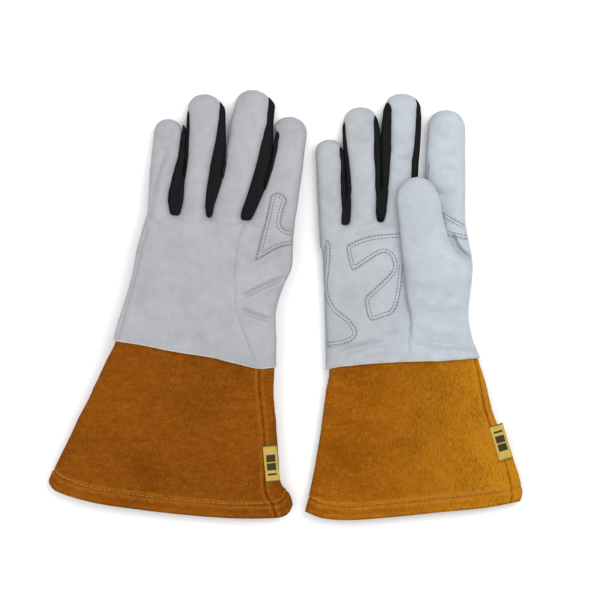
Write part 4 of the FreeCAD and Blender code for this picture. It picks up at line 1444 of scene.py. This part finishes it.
def dress_cuff(side, grid, share):
    """Folds, hem step and pressed seams of a cuff. Gives the new grid, its darkening along the seams, stitch
    line and hem edge with painted shade where the leather turns over at its sides, and its wear.
    """
    lie = lies[side]
    rows, columns = grid.shape[:2]
    flat = grid.reshape(-1, 3).copy()
    normal = grid_normals(grid).reshape(-1, 3)
    upper = ease(CUFF_DEPTH * 0.4, CUFF_DEPTH * 0.75, flat[:, 2])
    lift = sum(crease(flat, upper, *fold) for fold in CUFF_FOLDS[side])
    bumps = unevenness(flat, 34, 1.5, 6.1) + unevenness(flat, 13, 0.6, 2.9) + unevenness(flat, 5, 0.25, 4.6)
    down = np.linalg.norm(np.diff(grid, axis=0), axis=2)
    to_hem = np.vstack([np.cumsum(down[::-1], axis=0)[::-1], np.zeros((1, columns))]).reshape(-1)
    stitched = bell(to_hem - HEM + 0.6, 0.9)
    step = 0.3 * ease(0.0, 1.0, HEM - to_hem) - 0.7 * stitched
    rounded = -0.5 * bell(to_hem, 1.2)
    over = np.linalg.norm(np.diff(grid, axis=1), axis=2)
    from_left = np.hstack([np.zeros((rows, 1)), np.cumsum(over, axis=1)]).reshape(-1)
    total = np.repeat(np.cumsum(over, axis=1)[:, -1], columns)
    to_side = np.minimum(from_left, total - from_left)
    pressed = -0.65 * bell(to_side, 1.2)
    settle_in = ease(0.0, 0.08, np.repeat(share, columns))
    out = (bumps * 0.8 * settle_in + step + rounded + pressed)[:, None] * normal
    flat = flat + out
    flat[:, 2] += lift
    flat[:, 2] = np.maximum(flat[:, 2], 0.25)
    # painted shade: darker where the leather turns over to face sideways at the cuff's edges
    fold = ease(0.75, 1.0, 1 - np.abs(normal[:, 2]))
    # darker along the gusset seam, the hem stitch line and the hem edge, plus the painted fold shade
    darkening = 0.6 * bell(to_side, 0.8) + 0.35 * stitched + 0.4 * bell(to_hem, 1.2) + 0.7 * fold
    wear = 0.45 * bell(to_side - 2.4, 1.3) + 0.7 * bell(to_hem - HEM - 1.2, 1.2)
    wear += 0.5 * bell(to_hem - HEM + 3, 1.4) + 0.3 * bell(to_hem - 2.6, 1.6)
    settled = lie.settled(flat)
    return settled.reshape(grid.shape), np.clip(darkening, 0, 1), np.clip(wear * (1 - fold), 0, 1)


def cuff_span(side):
    name = f"{side}_cuff_fold"
    joint = next(j for j in frame["joints"] if j["name"] == name)
    spot = np.array(joint["pos_m"]) / MM
    axis = np.array(joint["axis"])
    along = np.array([-axis[1], axis[0]])
    along *= np.sign(along[1]) / np.linalg.norm(along)
    run = np.array([*along, 0.0]) * 5.0
    return tuple((spot + run) * MM), tuple((spot - run) * MM)


def build_cuff(side):
    share = np.linspace(0, 1, CUFF_ROWS)
    blend = (f"{side}_cuff", *cuff_span(side))
    finish = f"{side}_suede"
    surfaces = []
    for part, start, stop, count in (
        ("panel", lambda e: e, lambda e: 2 * math.pi - e, 250),
        ("gusset", lambda e: -e, lambda e: e, 34),
    ):
        grid, darkening, wear = dress_cuff(side, cuff_section(side, share, start, stop, count), share)
        points, faces = thicken(grid, CUFF_LEATHER)
        name = f"{side}_cuff_{part}"
        # the seam attribute of a cuff holds its seam darkening and its painted fold shade
        mesh = mesh_from(name, points, faces, np.tile(darkening, 2), wear=np.tile(wear, 2))
        piece = finish_piece(f"{name}_suede", mesh, finish, f"{side}_hand", (name,), blend)
        surfaces.append((grid.reshape(-1, 3), grid_faces(CUFF_ROWS, count, False)))
    points, faces = joined(*surfaces)
    return BVHTree.FromPolygons([Vector(p) for p in points], faces)


cuff_leather = {side: build_cuff(side) for side in GLOVES}

HEM_LINE = {
    "left": [
        (-182.5, -131), (-172, -137.6), (-150, -145.2), (-110, -151.0), (-72, -155.2), (-40, -157.4),
        (-17, -157.0),
    ],
    "right": [
        (21.6, -152.6), (32, -157.2), (51.7, -158.8), (85.7, -156.4), (126.6, -152.2), (160.5, -148.8),
        (184.6, -144.6),
    ],
}
for side in GLOVES:
    blend = (f"{side}_cuff", *cuff_span(side))
    add_stitches(
        f"{side}_hem",
        sew(cuff_leather[side], [HEM_LINE[side]], length=3.2, gap=0.5, thick=0.5, lift=0.15),
        f"{side}_hand", "gold_thread", blend, holes=False,
    )

# ---------------------------------------------------------------- labels

LABEL_SIZE = (11.0, 29.0)


def build_label(side):
    """A woven tab sewn into the side seam of the cuff, lying on the upper face."""
    centre, along = GLOVES[side]["label"]
    along = np.array(along) / np.linalg.norm(along)
    across = np.array([along[1], -along[0]])
    grid = []
    surface = cuff_leather[side]
    for b in np.linspace(-0.5, 0.5, 32):
        row = []
        for a in np.linspace(-0.5, 0.5, 14):
            spot = np.array(centre) + across * a * LABEL_SIZE[0] + along * b * LABEL_SIZE[1]
            z, _ = top_of(surface, *spot, None)
            row.append([*spot, z])
        heights = [r[2] for r in row if r[2] is not None]
        base = max(heights) if heights else CUFF_DEPTH
        for r in row:
            r[2] = base if r[2] is None or r[2] < base - 1.2 else r[2]
        grid.append(row)
    grid = np.array(grid, float)
    for _ in range(4):
        grid[1:-1, :, 2] = (grid[:-2, :, 2] + 2 * grid[1:-1, :, 2] + grid[2:, :, 2]) / 4
        grid[:, 1:-1, 2] = (grid[:, :-2, 2] + 2 * grid[:, 1:-1, 2] + grid[:, 2:, 2]) / 4
    grid[:, :, 2] += 1.1
    if grid_normals(grid)[5, 5, 2] < 0:
        grid = grid[:, ::-1]
    points, faces = thicken(grid, 0.7)
    name = f"{side}_cuff_label"
    cloth = woven_label(
        f"{side}_woven_tab", (0.56, 0.40, 0.08, 1), (0.015, 0.012, 0.008, 1), tuple(centre), tuple(along),
    )
    blend = (f"{side}_cuff", *cuff_span(side))
    finish_piece(f"{name}_tab", mesh_from(name, points, faces), cloth, f"{side}_hand", (name,), blend)


for side in GLOVES:
    build_label(side)

# ---------------------------------------------------------------- the wrist edge


def add_cord(name, points, radius, finish, body, blend=None):
    cord, faces = cord_along(points, radius)
    finish_piece(name, mesh_from(name, cord, faces), finish, body, (), blend)


for side, lie in lies.items():
    surface = leather[side]
    rim = curve_through(lie.shape["junction"], 150)
    inset = rim + np.array([0.0, 0.7])
    heights = np.array([top_of(surface, x, y, np.nan)[0] for x, y in inset])
    kept = ~np.isnan(heights)
    line = np.column_stack([inset[kept], heights[kept] - 0.15])
    line[:, 2] += 0.3 * np.sin(line[:, 0] * 0.35)
    add_cord(f"{side}_wrist_turned_edge", line, 0.7, "edge", f"{side}_hand")


# ---------------------------------------------------------------- floor

floor_mesh = bpy.data.meshes.new("floor")
floor_mesh.from_pydata([(-3, -3, 0), (3, -3, 0), (3, 3, 0), (-3, 3, 0)], [], [(0, 1, 2, 3)])
floor_mesh.materials.append(floor_paper())
floor = bpy.data.objects.new("floor", floor_mesh)
floor.location.z = -0.0005
bpy.context.scene.collection.objects.link(floor)
